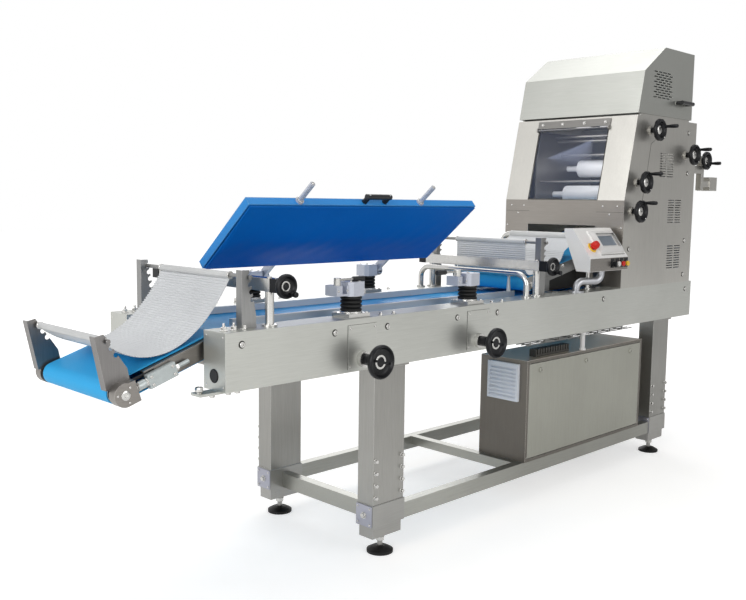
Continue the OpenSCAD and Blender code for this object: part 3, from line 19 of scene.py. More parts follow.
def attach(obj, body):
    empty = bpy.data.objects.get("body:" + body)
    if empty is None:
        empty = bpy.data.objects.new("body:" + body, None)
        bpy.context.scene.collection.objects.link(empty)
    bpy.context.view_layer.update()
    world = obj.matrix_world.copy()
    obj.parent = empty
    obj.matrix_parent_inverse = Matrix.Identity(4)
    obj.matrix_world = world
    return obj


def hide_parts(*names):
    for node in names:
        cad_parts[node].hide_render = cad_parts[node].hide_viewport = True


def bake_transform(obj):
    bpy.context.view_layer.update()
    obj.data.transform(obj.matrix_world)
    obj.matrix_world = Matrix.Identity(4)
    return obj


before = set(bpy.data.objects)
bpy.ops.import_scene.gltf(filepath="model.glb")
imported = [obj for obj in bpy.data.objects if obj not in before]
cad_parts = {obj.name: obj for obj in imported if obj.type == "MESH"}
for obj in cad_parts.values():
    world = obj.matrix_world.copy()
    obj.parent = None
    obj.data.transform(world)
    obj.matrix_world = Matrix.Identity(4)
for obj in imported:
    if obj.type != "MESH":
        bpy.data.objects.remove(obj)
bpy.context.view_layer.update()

LOG = logging.getLogger("moulder")
Point = tuple[float, float, float]
Pair = tuple[float, float]
Piece = bpy.types.Object
Test = Callable[[Vector, Vector], bool]

# The part's origin in the table's frame, in millimetres.
MIDDLE = Vector((-38.5488, -51.15, 0.0))
# Further than any piece, in metres, for the open sides of a zone.
FAR = 9.0
# From the table's frame in millimetres to the part's in metres.
PART = Matrix.Scale(0.001, 4) @ Matrix.Translation(-MIDDLE)


class Side(Enum):
    """The way a piece's own +Z axis is turned when it is set on the machine."""

    UP = (0.0, 0.0, 0.0)
    DOWN = (180.0, 0.0, 0.0)
    FRONT = (90.0, 0.0, 0.0)
    BACK = (-90.0, 0.0, 0.0)
    LEFT = (0.0, -90.0, 0.0)
    RIGHT = (0.0, 90.0, 0.0)

    def at(self, x: float, y: float, z: float, spin: float = 0.0) -> Matrix:
        """A place on the machine with this turn.

        Args:
            x, y, z: The place in the table's frame.
            spin: A turn about the piece's own axis first, in degrees.

        Returns:
            The matrix that sets a piece there.
        """
        turn = Matrix.Identity(4)
        for angle, axis in zip(self.value, "XYZ"):
            turn = Matrix.Rotation(math.radians(angle), 4, axis) @ turn
        return Matrix.Translation((x, y, z)) @ turn @ Matrix.Rotation(math.radians(spin), 4, "Z")

    @classmethod
    def facing(cls, sign: int) -> "Side":
        """The operator's side for a negative sign, and the back for a positive one."""
        return cls.FRONT if sign < 0 else cls.BACK


def tilted(place: Point, axis: str, degrees: float, back: Point = (0.0, 0.0, 0.0)) -> Matrix:
    """A frame at a place, turned about one axis.

    Args:
        place: Where the frame's turning point is.
        axis: The axis, X, Y or Z.
        degrees: The turn by the right-hand rule.
        back: Taken off the local measures before the turn.

    Returns:
        The matrix from the frame's own measures to the table's frame.
    """
    turn = Matrix.Rotation(math.radians(degrees), 4, axis)
    return Matrix.Translation(place) @ turn @ Matrix.Translation([-b for b in back])


# The tilted parts' own frames: raised board, discharge, infeed conveyor, window and operator's panel.
BOARD = tilted((0.0, 290.5, 996.0), "X", -40.0, (0.0, 290.5, 0.0))
SLOPE = tilted((-1815.0, 0.0, 735.0), "Y", -18.19)
INFEED = tilted((245.0, 0.0, 942.0), "Y", -11.5)
LEAN = tilted((790.0, 0.0, 1325.0), "Y", 12.95)
PANEL = tilted((0.0, -400.0, 1060.0), "X", 53.06)


class Edit:
    """Edit mode on one piece, where faces and points are picked in code."""

    def __init__(self, piece: Piece) -> None:
        """Takes the piece to work on."""
        self.piece = piece

    def __enter__(self) -> "Edit":
        """Opens edit mode on the piece.

        Returns:
            This, for the first step.
        """
        Bench.only(self.piece)
        bpy.ops.object.mode_set(mode="EDIT")
        bpy.ops.mesh.select_mode(type="VERT")
        return self

    def __exit__(self, *_: object) -> None:
        """Goes back to object mode."""
        bpy.ops.object.mode_set(mode="OBJECT")

    def everything(self) -> "Edit":
        """Picks the whole mesh."""
        bpy.ops.mesh.select_all(action="SELECT")
        return self

    def faces(self, test: Test) -> "Edit":
        """Picks the faces whose middle and normal pass a test.

        Args:
            test: A test of a face's middle and normal.

        Returns:
            This, for the next step.
        """
        mesh = self._cleared("FACE")
        for face in mesh.faces:
            face.select_set(test(face.calc_center_median(), face.normal))
        return self._shown(mesh)

    def points(self, test: Test) -> "Edit":
        """Picks the points whose place and normal pass a test.

        Args:
            test: A test of a point's place and normal.

        Returns:
            This, for the next step.
        """
        mesh = self._cleared("VERT")
        for point in mesh.verts:
            point.select_set(test(point.co, point.normal))
        return self._shown(mesh)

    def _cleared(self, kind: str) -> bmesh.types.BMesh:
        """Drops the selection and returns the mesh in work.

        Args:
            kind: What is picked next, FACE or VERT.

        Returns:
            The mesh in edit mode.
        """
        bpy.ops.mesh.select_mode(type=kind)
        bpy.ops.mesh.select_all(action="DESELECT")
        mesh = bmesh.from_edit_mesh(self.piece.data)
        mesh.normal_update()
        return mesh

    def _shown(self, mesh: bmesh.types.BMesh) -> "Edit":
        """Hands the selection over to the operators.

        Args:
            mesh: The mesh in edit mode.

        Returns:
            This, for the next step.
        """
        mesh.select_flush_mode()
        bmesh.update_edit_mesh(self.piece.data)
        return self

    def pull(self, x: float, y: float, z: float) -> "Edit":
        """Extrudes what is picked by a step."""
        bpy.ops.mesh.extrude_region_move(TRANSFORM_OT_translate={"value": (x, y, z)})
        return self

    def shift(self, x: float, y: float, z: float) -> "Edit":
        """Moves what is picked."""
        bpy.ops.transform.translate(value=(x, y, z))
        return self

    def grow(self, x: float, y: float, z: float, centre: Point = (0.0, 0.0, 0.0)) -> "Edit":
        """Scales what is picked about a centre."""
        bpy.ops.transform.resize(value=(x, y, z), center_override=centre)
        return self

    def inset(self, width: float, depth: float = 0.0) -> "Edit":
        """Insets the picked faces."""
        bpy.ops.mesh.inset(thickness=width, depth=depth)
        return self

    def tidy(self) -> "Edit":
        """Merges doubles and turns the faces outwards.

        Returns:
            This, for the next step.
        """
        self.everything()
        bpy.ops.mesh.remove_doubles(threshold=0.002)
        bpy.ops.mesh.normals_make_consistent(inside=False)
        return self


class Bench:
    """Starts pieces from primitives, copies and joins them, and hands them over."""

    @staticmethod
    def clear() -> None:
        """Leaves edit mode and drops the selection."""
        if bpy.context.mode != "OBJECT":
            bpy.ops.object.mode_set(mode="OBJECT")
        bpy.ops.object.select_all(action="DESELECT")

    @staticmethod
    def only(*pieces: Piece) -> None:
        """Selects these pieces alone, the first one active.

        Args:
            pieces: The pieces to select.
        """
        Bench.clear()
        for piece in pieces:
            piece.select_set(True)
        bpy.context.view_layer.objects.active = pieces[0]

    @staticmethod
    def made(name: str) -> Piece:
        """The piece just added, named, with its place in its mesh.

        Args:
            name: The piece's name.

        Returns:
            The piece.
        """
        piece = bpy.context.active_object
        piece.name = piece.data.name = name
        bpy.ops.object.transform_apply(location=True, rotation=True, scale=True)
        return piece

    @staticmethod
    def block(name: str, low: Point, high: Point) -> Piece:
        """A box between two corners.

        Args:
            name: The piece's name.
            low: The lowest corner.
            high: The highest corner.

        Returns:
            The box.
        """
        Bench.clear()
        middle = [(a + b) / 2 for a, b in zip(low, high)]
        size = [b - a for a, b in zip(low, high)]
        bpy.ops.mesh.primitive_cube_add(size=1, location=middle, scale=size)
        return Bench.made(name)

    @staticmethod
    def bar(name: str, radius: float, length: float, sides: int = 24) -> Piece:
        """A round bar from zero along +Z.

        Args:
            name: The piece's name.
            radius: Its radius.
            length: Its length.
            sides: The number of flats round it.

        Returns:
            The bar.
        """
        Bench.clear()
        bpy.ops.mesh.primitive_cylinder_add(
            vertices=sides, radius=radius, depth=length, location=(0, 0, length / 2))
        return Bench.made(name)

    @staticmethod
    def _chain(name: str, points: Sequence[Point]) -> Piece:
        """A line of edges, drawn out from one point.

        Args:
            name: The piece's name.
            points: The line's points.

        Returns:
            The line, with no faces.
        """
        Bench.clear()
        bpy.ops.mesh.primitive_plane_add(size=1)
        piece = Bench.made(name)
        with Edit(piece) as edit:
            edit.everything()
            bpy.ops.mesh.merge(type="CENTER")
            edit.shift(*points[0])
            for a, b in zip(points, points[1:]):
                step = [q - p for p, q in zip(a, b)]
                bpy.ops.mesh.extrude_vertices_move(TRANSFORM_OT_translate={"value": step})
        return piece

    @staticmethod
    def turned(name: str, profile: Sequence[Pair], sides: int = 24) -> Piece:
        """A lathe piece about +Z.

        Args:
            name: The piece's name.
            profile: Radius and height of each point, from the axis and back to it.
            sides: The number of flats round the axis.

        Returns:
            The closed piece.
        """
        piece = Bench._chain(name, [(r, 0.0, z) for r, z in profile])
        with Edit(piece) as edit:
            edit.everything()
            bpy.ops.mesh.spin(steps=sides, angle=math.tau, center=(0, 0, 0), axis=(0, 0, 1))
            edit.tidy()
        return piece

    @staticmethod
    def plate(name: str, outline: Sequence[Pair], thick: float) -> Piece:
        """A plate with an outline in X and Y, from zero up to its thickness.

        Args:
            name: The piece's name.
            outline: The outline's corners, in order.
            thick: The plate's thickness.

        Returns:
            The plate.
        """
        piece = Bench._chain(name, [(x, y, 0.0) for x, y in (*outline, outline[0])])
        with Edit(piece) as edit:
            edit.tidy().everything()
            bpy.ops.mesh.edge_face_add()
            edit.pull(0.0, 0.0, thick).tidy()
        return piece

    @staticmethod
    def tube(name: str, path: Sequence[Point], radius: float, rings: int = 3, closed: bool = False) -> Piece:
        """A round wire or tube along a path, as a mesh.

        Args:
            name: The piece's name.
            path: The points of its middle line.
            radius: Its radius.
            rings: How finely it is rounded.
            closed: Whether the path runs back to its start.

        Returns:
            The tube.
        """
        curve = bpy.data.curves.new(name, "CURVE")
        curve.dimensions = "3D"
        curve.bevel_depth = radius
        curve.bevel_resolution = rings
        curve.use_fill_caps = True
        line = curve.splines.new("POLY")
        line.points.add(len(path) - 1)
        for spot, p in zip(line.points, path):
            spot.co = (*p, 1.0)
        line.use_cyclic_u = closed
        piece = bpy.data.objects.new(name, curve)
        bpy.context.collection.objects.link(piece)
        Bench.only(piece)
        bpy.ops.object.convert(target="MESH")
        return bpy.context.active_object

    @staticmethod
    def worked(piece: Piece, kind: str, **settings: object) -> Piece:
        """Puts a modifier on a piece and applies it.

        Args:
            piece: The piece.
            kind: The modifier's type.
            settings: The modifier's options.

        Returns:
            The piece.
        """
        Bench.only(piece)
        bpy.ops.object.modifier_add(type=kind)
        worker = piece.modifiers[-1]
        for name, value in settings.items():
            setattr(worker, name, value)
        bpy.ops.object.modifier_apply(modifier=worker.name)
        return piece

    @staticmethod
    def eased(piece: Piece, width: float, steps: int = 2, angle: float = 35.0) -> Piece:
        """Rounds the sharp edges of a piece.

        Args:
            piece: The piece.
            width: The bevel's width.
            steps: The bevel's steps.
            angle: Edges sharper than this are rounded, in degrees.

        Returns:
            The piece.
        """
        return Bench.worked(piece, "BEVEL", width=width, segments=steps,
                            limit_method="ANGLE", angle_limit=math.radians(angle))

    @staticmethod
    def moved(piece: Piece, place: Matrix) -> Piece:
        """Moves a piece's mesh.

        Args:
            piece: The piece.
            place: The move.

        Returns:
            The piece.
        """
        piece.data.transform(place)
        if place.determinant() < 0:
            piece.data.flip_normals()
        return piece

    @staticmethod
    def joined(name: str, pieces: Sequence[Piece]) -> Piece:
        """Joins pieces into one.

        Args:
            name: The joined piece's name.
            pieces: The pieces, which are used up.

        Returns:
            The joined piece.
        """
        Bench.only(*pieces)
        if len(pieces) > 1:
            bpy.ops.object.join()
        pieces[0].name = pieces[0].data.name = name
        return pieces[0]

    @staticmethod
    def copies(pattern: Piece, name: str, places: Iterable[Matrix]) -> Piece:
        """Sets copies of a pattern, each with its own mesh, and joins them.

        Args:
            pattern: The piece to copy; it is used up.
            name: The name of the joined copies.
            places: Where each copy goes.

        Returns:
            The joined copies.
        """
        made = []
        for place in places:
            twin = pattern.copy()
            twin.data = pattern.data.copy()
            bpy.context.collection.objects.link(twin)
            made.append(Bench.moved(twin, place))
        bpy.data.objects.remove(pattern, do_unlink=True)
        return Bench.joined(name, made)

    @staticmethod
    def set_out(pattern: Piece, name: str, places: Iterable[Matrix], finish: "Finish",
                body: str = "frame") -> Piece:
        """Sets copies of a pattern on a body and hands them over as one piece.

        Args:
            pattern: The piece to copy; it is used up.
            name: The name of the joined copies.
            places: Where each copy goes, in the table's frame.
            finish: Their finish.
            body: The CAD body that they move with.

        Returns:
            The joined copies.
        """
        return Bench.deliver(Bench.copies(pattern, name, places), body, finish)

    @staticmethod
    def deliver(piece: Piece, body: str | None, finish: "Finish", stands_for: Sequence[str] = (),
                angle: float = 35.0) -> Piece:
        """Moves a piece into the part's frame, dresses it and hands it over.

        Args:
            piece: The finished mesh, in the table's frame.
            body: The CAD body that it moves with, or None to leave it unattached.
            finish: Its finish.
            stands_for: CAD nodes that it replaces.
            angle: Edges flatter than this are shaded smooth, in degrees.

        Returns:
            The piece.
        """
        Bench.moved(piece, PART)
        Bench.only(piece)
        bpy.ops.object.shade_smooth_by_angle(angle=math.radians(angle))
        piece.data.materials.clear()
        piece.data.materials.append(finish.material())
        if body:
            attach(piece, body)
        if stands_for:
            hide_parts(*stands_for)
        LOG.info("%s: %d faces on %s, %s", piece.name, len(piece.data.polygons), body, finish.name)
        return piece


def colour(code: str) -> tuple[float, float, float, float]:
    """A screen colour code, such as 2f86d6, as a linear colour with full alpha."""
    parts = [int(code[i:i + 2], 16) / 255 for i in (0, 2, 4)]
    return (*[c / 12.92 if c <= 0.04045 else ((c + 0.055) / 1.055) ** 2.4 for c in parts], 1.0)


class Net:
    """A node tree in work."""

    def __init__(self, tree: bpy.types.NodeTree) -> None:
        """Takes a tree and empties it."""
        self.tree = tree
        tree.nodes.clear()

    @classmethod
    def of_material(cls, name: str) -> tuple[bpy.types.Material, "Net"]:
        """Starts a material.

        Args:
            name: The material's name.

        Returns:
            The material and its empty nodes.
        """
        made = bpy.data.materials.new(name)
        made.use_nodes = True
        return made, cls(made.node_tree)

    def add(self, kind: str, given: dict[str | int, object] | None = None, **settings: object) -> bpy.types.Node:
        """Adds a node.

        Args:
            kind: The node's type.
            given: A value or another node's output for each named input.
            settings: The node's own options.

        Returns:
            The node.
        """
        node = self.tree.nodes.new(kind)
        for name, value in settings.items():
            setattr(node, name, value)
        for name, value in (given or {}).items():
            if isinstance(value, bpy.types.NodeSocket):
                self.tree.links.new(value, node.inputs[name])
            else:
                node.inputs[name].default_value = value
        return node

    def sum(self, operation: str, *values: object) -> bpy.types.NodeSocket:
        """The output of a Math node on up to three values."""
        return self.add("ShaderNodeMath", dict(enumerate(values)), operation=operation).outputs[0]

    def mix(self, share: object, a: object, b: object) -> bpy.types.NodeSocket:
        """The colour between two colours.

        Args:
            share: How much of the second colour.
            a: The first colour.
            b: The second colour.

        Returns:
            The mixed colour.
        """
        # A Mix node has sockets for every kind of value; 6, 7 and 2 are the colours.
        node = self.add("ShaderNodeMix", data_type="RGBA")
        for socket, value in ((node.inputs[0], share), (node.inputs[6], a), (node.inputs[7], b)):
            if isinstance(value, bpy.types.NodeSocket):
                self.tree.links.new(value, socket)
            else:
                socket.default_value = value
        return node.outputs[2]

    def ranged(self, value: object, ends: Pair, to: Pair = (0.0, 1.0)) -> bpy.types.NodeSocket:
        """A value moved from one range to another and kept inside it."""
        return self.add("ShaderNodeMapRange", dict(enumerate((value, *ends, *to)))).outputs[0]

    def noise(self, place: object, scale: float, detail: float = 2.0) -> bpy.types.NodeSocket:
        """A noise value at a place."""
        return self.add("ShaderNodeTexNoise", {"Vector": place, "Scale": scale, "Detail": detail}).outputs[0]


class Effect(Enum):
    """Effects that several finishes share, each a node group built once."""

    SURFACE = "surface_grain"
    EDGES = "soft_edges"
    THREADS = "woven_threads"

    def group(self) -> bpy.types.NodeTree:
        """The effect's node group, made the first time."""
        found = bpy.data.node_groups.get(self.value)
        return found or {Effect.SURFACE: _surface, Effect.EDGES: _edges, Effect.THREADS: _threads}[self](self.value)

    def put(self, net: Net, given: dict[str | int, object]) -> bpy.types.Node:
        """Places the effect in a material.

        Args:
            net: The material's nodes.
            given: A value or another node's output for each named input.

        Returns:
            The group node.
        """
        return net.add("ShaderNodeGroup", given, node_tree=self.group())


def _group(name: str, inputs: Sequence[tuple[str, str]],
           outputs: Sequence[tuple[str, str]]) -> tuple[Net, bpy.types.Node, bpy.types.Node]:
    """An empty node group with named sockets.

    Args:
        name: The group's name.
        inputs: Name and kind of each input, such as Float or Vector.
        outputs: Name and kind of each output.

    Returns:
        The net, its input node and its output node.
    """
    net = Net(bpy.data.node_groups.new(name, "ShaderNodeTree"))
    for way, sockets in (("INPUT", inputs), ("OUTPUT", outputs)):
        for label, kind in sockets:
            net.tree.interface.new_socket(label, in_out=way, socket_type=f"NodeSocket{kind}")
    return net, net.add("NodeGroupInput"), net.add("NodeGroupOutput")


def _surface(name: str) -> bpy.types.NodeTree:
    """Fine grain and broad streaks, stretched along a direction, with large soft patches, as grain and tone.

    Args:
        name: The group's name.

    Returns:
        The node group.
    """
    net, given, out = _group(name, (("Place", "Vector"), ("Stretch", "Vector"), ("Patch size", "Float")),
                             (("Grain", "Float"), ("Tone", "Float")))
    fine = net.add("ShaderNodeVectorMath", {0: given.outputs[0], 1: given.outputs[1]}, operation="MULTIPLY")
    grain = net.noise(fine.outputs[0], 1.0, 3.0)
    streaks = net.noise(fine.outputs[0], 0.2, 4.0)
    patches = net.noise(given.outputs[0], 3.0, 4.0)
    net.tree.links.new(given.outputs[2], patches.node.inputs["Scale"])
    broad = net.sum("MULTIPLY_ADD", streaks, 0.2, net.sum("MULTIPLY", patches, 0.9))
    tone = net.sum("MULTIPLY_ADD", grain, 0.5, broad)
    net.tree.links.new(grain, out.inputs[0])
    net.tree.links.new(net.ranged(tone, (0.5, 1.1)), out.inputs[1])
    return net.tree


def _edges(name: str) -> bpy.types.NodeTree:
    """Normals rounded over sharp edges, and a mask of those edges.

    Args:
        name: The group's name.

    Returns:
        The node group.
    """
    net, given, out = _group(name, (("Radius", "Float"),), (("Normal", "Vector"), ("Edge", "Float")))
    soft = net.add("ShaderNodeBevel", {"Radius": given.outputs[0]}, samples=4)
    true = net.add("ShaderNodeNewGeometry")
    dot = net.add("ShaderNodeVectorMath", {0: soft.outputs[0], 1: true.outputs["Normal"]}, operation="DOT_PRODUCT")
    net.tree.links.new(soft.outputs[0], out.inputs[0])
    net.tree.links.new(net.ranged(dot.outputs["Value"], (0.999, 0.86)), out.inputs[1])
    return net.tree


def _threads(name: str) -> bpy.types.NodeTree:
    """Crossing threads: height over two directions of a cloth or wire mesh, and its gaps, for painted shade.

    Args:
        name: The group's name.

    Returns:
        The node group.
    """
    net, given, out = _group(name, (("Place", "Vector"), ("Across", "Float"), ("Along", "Float")),
                             (("Height", "Float"), ("Gaps", "Float")))
    parts = net.add("ShaderNodeSeparateXYZ", {0: given.outputs[0]})
    waves = []
    for axis, count in ((0, given.outputs[1]), (1, given.outputs[2])):
        turn = net.sum("MULTIPLY", parts.outputs[axis], count)
        waves.append(net.sum("ABSOLUTE", net.sum("SINE", net.sum("MULTIPLY", turn, math.pi))))
    net.tree.links.new(net.sum("MAXIMUM", *waves), out.inputs[0])
    lows = [net.sum("SUBTRACT", 1.0, wave) for wave in waves]
    net.tree.links.new(net.sum("MULTIPLY", *lows), out.inputs[1])
    return net.tree


class Grain(Enum):
    """How a finish's fine grain is stretched, in waves per metre along X, Y and Z."""

    BRUSHED_X = (14.0, 700.0, 700.0)
    BRUSHED_Y = (700.0, 14.0, 700.0)
    BRUSHED_Z = (700.0, 700.0, 14.0)
    POLISHED = (60.0, 60.0, 60.0)
    MOULDED = (1500.0, 1500.0, 1500.0)
    SATIN = (260.0, 260.0, 260.0)


@dataclass(frozen=True)
class Zone:
    """Boxes of the part, from low to high corners in metres, that take another finish."""

    boxes: tuple[tuple[Point, Point], ...]
    finish: "Finish"

    def mask(self, net: Net, place: bpy.types.NodeSocket) -> bpy.types.NodeSocket:
        """A value that is one inside the boxes and nothing outside them.

        Args:
            net: The material's nodes.
            place: Where the value is read.

        Returns:
            The value.
        """
        axes = net.add("ShaderNodeSeparateXYZ", {0: place}).outputs
        found = None
        for low, high in self.boxes:
            tests = [net.sum("GREATER_THAN", axis, v) for axis, v in zip(axes, low) if v > -FAR]
            tests += [net.sum("LESS_THAN", axis, v) for axis, v in zip(axes, high) if v < FAR]
            inside = reduce(lambda a, b: net.sum("MULTIPLY", a, b), tests)
            found = net.sum("MAXIMUM", found, inside) if found else inside
        return found


@dataclass(frozen=True)
class Finish:
    """One finish of the machine, in screen colours and metres.

    base and shade are its two tones, spread is how far its roughness varies, edge is the radius of its softened
    edges, along which a highlight is painted in a colour of its own, patch is the scale of its large soft patches,
    and threads are those of a weave, in threads per metre. own_map makes the pattern follow the piece's own map,
    and zone takes another finish.
    """

    name: str
    slot: str
    base: str
    shade: str
    rough: float
    metal: float = 0.0
    grain: Grain = Grain.MOULDED
    spread: float = 0.1
    bump: float = 0.06
    edge: float = 0.0012
    edge_highlight: str = ""
    patch: float = 3.0
    coat: float = 0.0
    gloss: float = 0.5
    threads: Pair | None = None
    own_map: bool = False
    zone: Zone | None = None

    def material(self) -> bpy.types.Material:
        """The finish as a material, built the first time it is asked for."""
        return bpy.data.materials.get(self.name) or self._build()

    def _place(self, net: Net) -> bpy.types.NodeSocket:
        """The coordinates that the pattern follows."""
        return net.add("ShaderNodeTexCoord").outputs["UV" if self.own_map else "Object"]

    def _looks(self, net: Net, place: bpy.types.NodeSocket, edge: bpy.types.Node) -> dict[str, object]:
        """Colour, roughness and height of this finish in a material.

        Args:
            net: The material's nodes.
            place: Where the pattern is read.
            edge: The soft edges of the material.

        Returns:
            The sockets, by name.
        """
        surface = Effect.SURFACE.put(net, {"Place": place, "Stretch": self.grain.value, "Patch size": self.patch})
        grain, share = surface.outputs[0], surface.outputs[1]
        tone = net.sum("MULTIPLY", share, 0.35) if self.threads else share
        tint = net.mix(tone, colour(self.base), colour(self.shade))
        # Along the edges the tint goes over to the highlight colour: a highlight painted where the edges catch the
        # light.
        if self.edge_highlight:
            tint = net.mix(net.sum("MULTIPLY", edge.outputs[1], 0.55), tint, colour(self.edge_highlight))
        height = grain
        if self.threads:
            cloth = Effect.THREADS.put(net, {"Place": place, "Across": self.threads[0], "Along": self.threads[1]})
            # The weave's gaps take the darker tone: painted shade between the threads.
            tint = net.mix(net.sum("MULTIPLY", cloth.outputs[1], 0.35), tint, colour(self.shade))
            height = net.sum("MULTIPLY_ADD", cloth.outputs[0], 0.8, net.sum("MULTIPLY", grain, 0.2))
        rough = net.sum("MULTIPLY_ADD", net.sum("SUBTRACT", share, 0.5), self.spread * 2, self.rough)
        return {"tint": tint, "rough": rough, "height": height}

    def _build(self) -> bpy.types.Material:
        """Makes the material's nodes.

        Returns:
            The material.
        """
        made, net = Net.of_material(self.name)
        place = self._place(net)
        edge = Effect.EDGES.put(net, {"Radius": self.edge})
        looks = self._looks(net, place, edge)
        shader = net.add("ShaderNodeBsdfPrincipled", {"Metallic": self.metal, "Coat Weight": self.coat,
                                                      "Coat Roughness": 0.12, "Specular IOR Level": self.gloss,
                                                      "Base Color": colour(self.base)})
        if self.zone:
            other = self.zone.finish._looks(net, place, edge)
            inside = self.zone.mask(net, place)
            looks["tint"] = net.mix(inside, looks["tint"], other["tint"])
            for name in ("rough", "height"):
                gap = net.sum("SUBTRACT", other[name], looks[name])
                looks[name] = net.sum("MULTIPLY_ADD", gap, inside, looks[name])
            metal = net.sum("MULTIPLY_ADD", inside, self.zone.finish.metal - self.metal, self.metal)
            net.tree.links.new(metal, shader.inputs["Metallic"])
        bump = net.add("ShaderNodeBump", {"Height": looks["height"], "Normal": edge.outputs[0],
                                          "Strength": self.bump, "Distance": 0.0008})
        ends = {"Base Color": looks["tint"], "Roughness": looks["rough"], "Normal": bump.outputs[0]}
        for name, socket in ends.items():
            net.tree.links.new(socket, shader.inputs[name])
        net.add("ShaderNodeOutputMaterial", {0: shader.outputs[0]})
        return made


@dataclass(frozen=True)
class ClearFinish(Finish):
    """The clear sheet of the window, with a faint haze."""

    def _build(self) -> bpy.types.Material:
        """Makes the material's nodes.

        Returns:
            The material.
        """
        made, net = Net.of_material(self.name)
        edge = Effect.EDGES.put(net, {"Radius": self.edge})
        looks = self._looks(net, self._place(net), edge)
        shader = net.add("ShaderNodeBsdfPrincipled", {"Alpha": 0.08, "Metallic": 0.0, "Specular IOR Level": 0.6})
        net.tree.links.new(looks["tint"], shader.inputs["Base Color"])
        net.tree.links.new(looks["rough"], shader.inputs["Roughness"])
        net.add("ShaderNodeOutputMaterial", {0: shader.outputs[0]})
        return made


# Name, slot, two tones, roughness, metal, grain, spread of the roughness and bump, and then what differs.
STEEL = Finish("satin_steel", "stainless", "c7c5bf", "adaba6", 0.34, 0.9, Grain.BRUSHED_Z, 0.06, 0.05,
               edge_highlight="d6d4cf", patch=1.6)
# A darker copy of the head's steel for the lower front plate: painted shade for the darker reflection there.
FRONT_PLATE = Finish("front_plate_steel", "stainless", "9c9791", "87827c", 0.34, 0.9, Grain.BRUSHED_Y, 0.06, 0.05,
                     edge_highlight="d6d4cf", patch=1.6)
HOOD_STEEL = Finish("hood_sheet", "stainless", "b9bab5", "a5a6a0", 0.34, 0.9, Grain.BRUSHED_Y, 0.06, 0.05,
                    edge_highlight="d6d6d2", patch=1.6)
BEAM_STEEL = Finish("beam_steel", "stainless", "cacbc6", "b1b2ac", 0.35, 0.8, Grain.BRUSHED_X, 0.06, 0.05,
                    edge_highlight="e2e2df", patch=1.4)
LEG_STEEL = Finish("leg_steel", "stainless", "a1a09c", "888783", 0.33, 0.9, Grain.BRUSHED_Z, 0.06, 0.05, edge=0.003,
                   edge_highlight="cfcecb", patch=1.4)
RAIL_STEEL = Finish("rail_steel", "stainless", "a9a9a3", "90908a", 0.34, 0.9, Grain.BRUSHED_X, 0.06, 0.05,
                    edge_highlight="cfcec8", patch=1.4)
DOOR_STEEL = Finish("door_steel", "stainless", "a9a9a0", "98988f", 0.36, 0.88, Grain.BRUSHED_Z, 0.06, 0.05,
                    edge=0.003, edge_highlight="d2d1c9", patch=1.8)
# The cabinet's shell is painted much darker than its door: painted shade, where the table and beam shade it.
BOX_STEEL = Finish("cabinet_steel", "stainless", "77736c", "645f59", 0.42, 0.7, Grain.BRUSHED_Z, 0.06, 0.05,
                   edge=0.003, edge_highlight="d4d1cb", patch=1.8)
BRUSHED = Finish("brushed_steel", "stainless", "9c9c9b", "828281", 0.34, 0.9, Grain.BRUSHED_Z, 0.08, 0.08,
                 edge_highlight="cfcfce")
TRAY_WIRE = Finish("tray_wire", "bright_steel", "838381", "6d6d6b", 0.34, 0.85, Grain.POLISHED, 0.08, 0.02)
COMB = Finish("cable_comb", "black_plastic", "3b3a36", "2c2b28", 0.5, 0.0, Grain.MOULDED, 0.1, 0.08)
ROLLER_WHITE = Finish("roller_white", "white_plastic", "f6f7fa", "eceef2", 0.35, 0.0, Grain.MOULDED, 0.1, 0.05)
VENT_WHITE = Finish("vent_white", "white_plastic", "eef2f9", "e0e5ee", 0.4, 0.0, Grain.MOULDED, 0.1, 0.05,
                    edge_highlight="fbfcfe")
BRUSHED_X = Finish("brushed_lengthwise", "bright_steel", "bdbbb7", "a3a19c", 0.28, 0.88, Grain.BRUSHED_X, 0.1, 0.08,
                   edge_highlight="e2e1dd")
BRIGHT = Finish("polished_steel", "bright_steel", "c8c7c4", "bdbcb9", 0.2, 0.95, Grain.POLISHED, 0.04, 0.01,
                edge_highlight="f2f1ee")
# The console's steel is painted near white and nearly matt: painted glare on its lit faces.
CASE = Finish("console_steel", "bright_steel", "f4f3f1", "ecebe9", 0.32, 0.2, Grain.BRUSHED_X, 0.06, 0.04,
              edge_highlight="f8f7f5")
SHOE = Finish("satin_shoe_steel", "shoe_steel", "a5a4a1", "94938f", 0.34, 0.85, Grain.BRUSHED_X, 0.1, 0.08,
              edge_highlight="b4b7bd")
# A darker copy of the console's steel for its front face: painted shade for the darker reflection there.
CASE_FRONT = Finish("console_front_steel", "bright_steel", "97938e", "827e79", 0.3, 0.85, Grain.BRUSHED_X, 0.1, 0.06,
                    edge_highlight="d6d4cf")
# The shell's top is painted lighter than its sides: painted light on a top that lies in the table's shadow.
BOX_TOP = Finish("cabinet_top_steel", "stainless", "c6bfb2", "b2ab9f", 0.36, 0.7, Grain.BRUSHED_X, 0.06, 0.05,
                 edge_highlight="d4d1cb", patch=1.8)
SHOE_PLATE = Finish("shoe_plate_steel", "shoe_steel", "a9aab5", "9a9ba6", 0.32, 0.8, Grain.BRUSHED_Y, 0.08, 0.06,
                    edge_highlight="c8c9d2")
STAND_STEEL = Finish("stand_steel", "bright_steel", "aaabae", "989a9e", 0.36, 0.85, Grain.SATIN, 0.08, 0.05,
                     edge_highlight="cccdd0")
JACK_ALLOY = Finish("jack_alloy", "bright_steel", "c8ccd6", "b2b6c1", 0.36, 0.4, Grain.SATIN, 0.08, 0.06,
                    edge_highlight="e8eaf0")
ZINC = Finish("zinc_plate", "alloy", "c3caca", "adb4b4", 0.36, 0.5, Grain.SATIN, 0.08, 0.06, edge_highlight="e4e8e8")
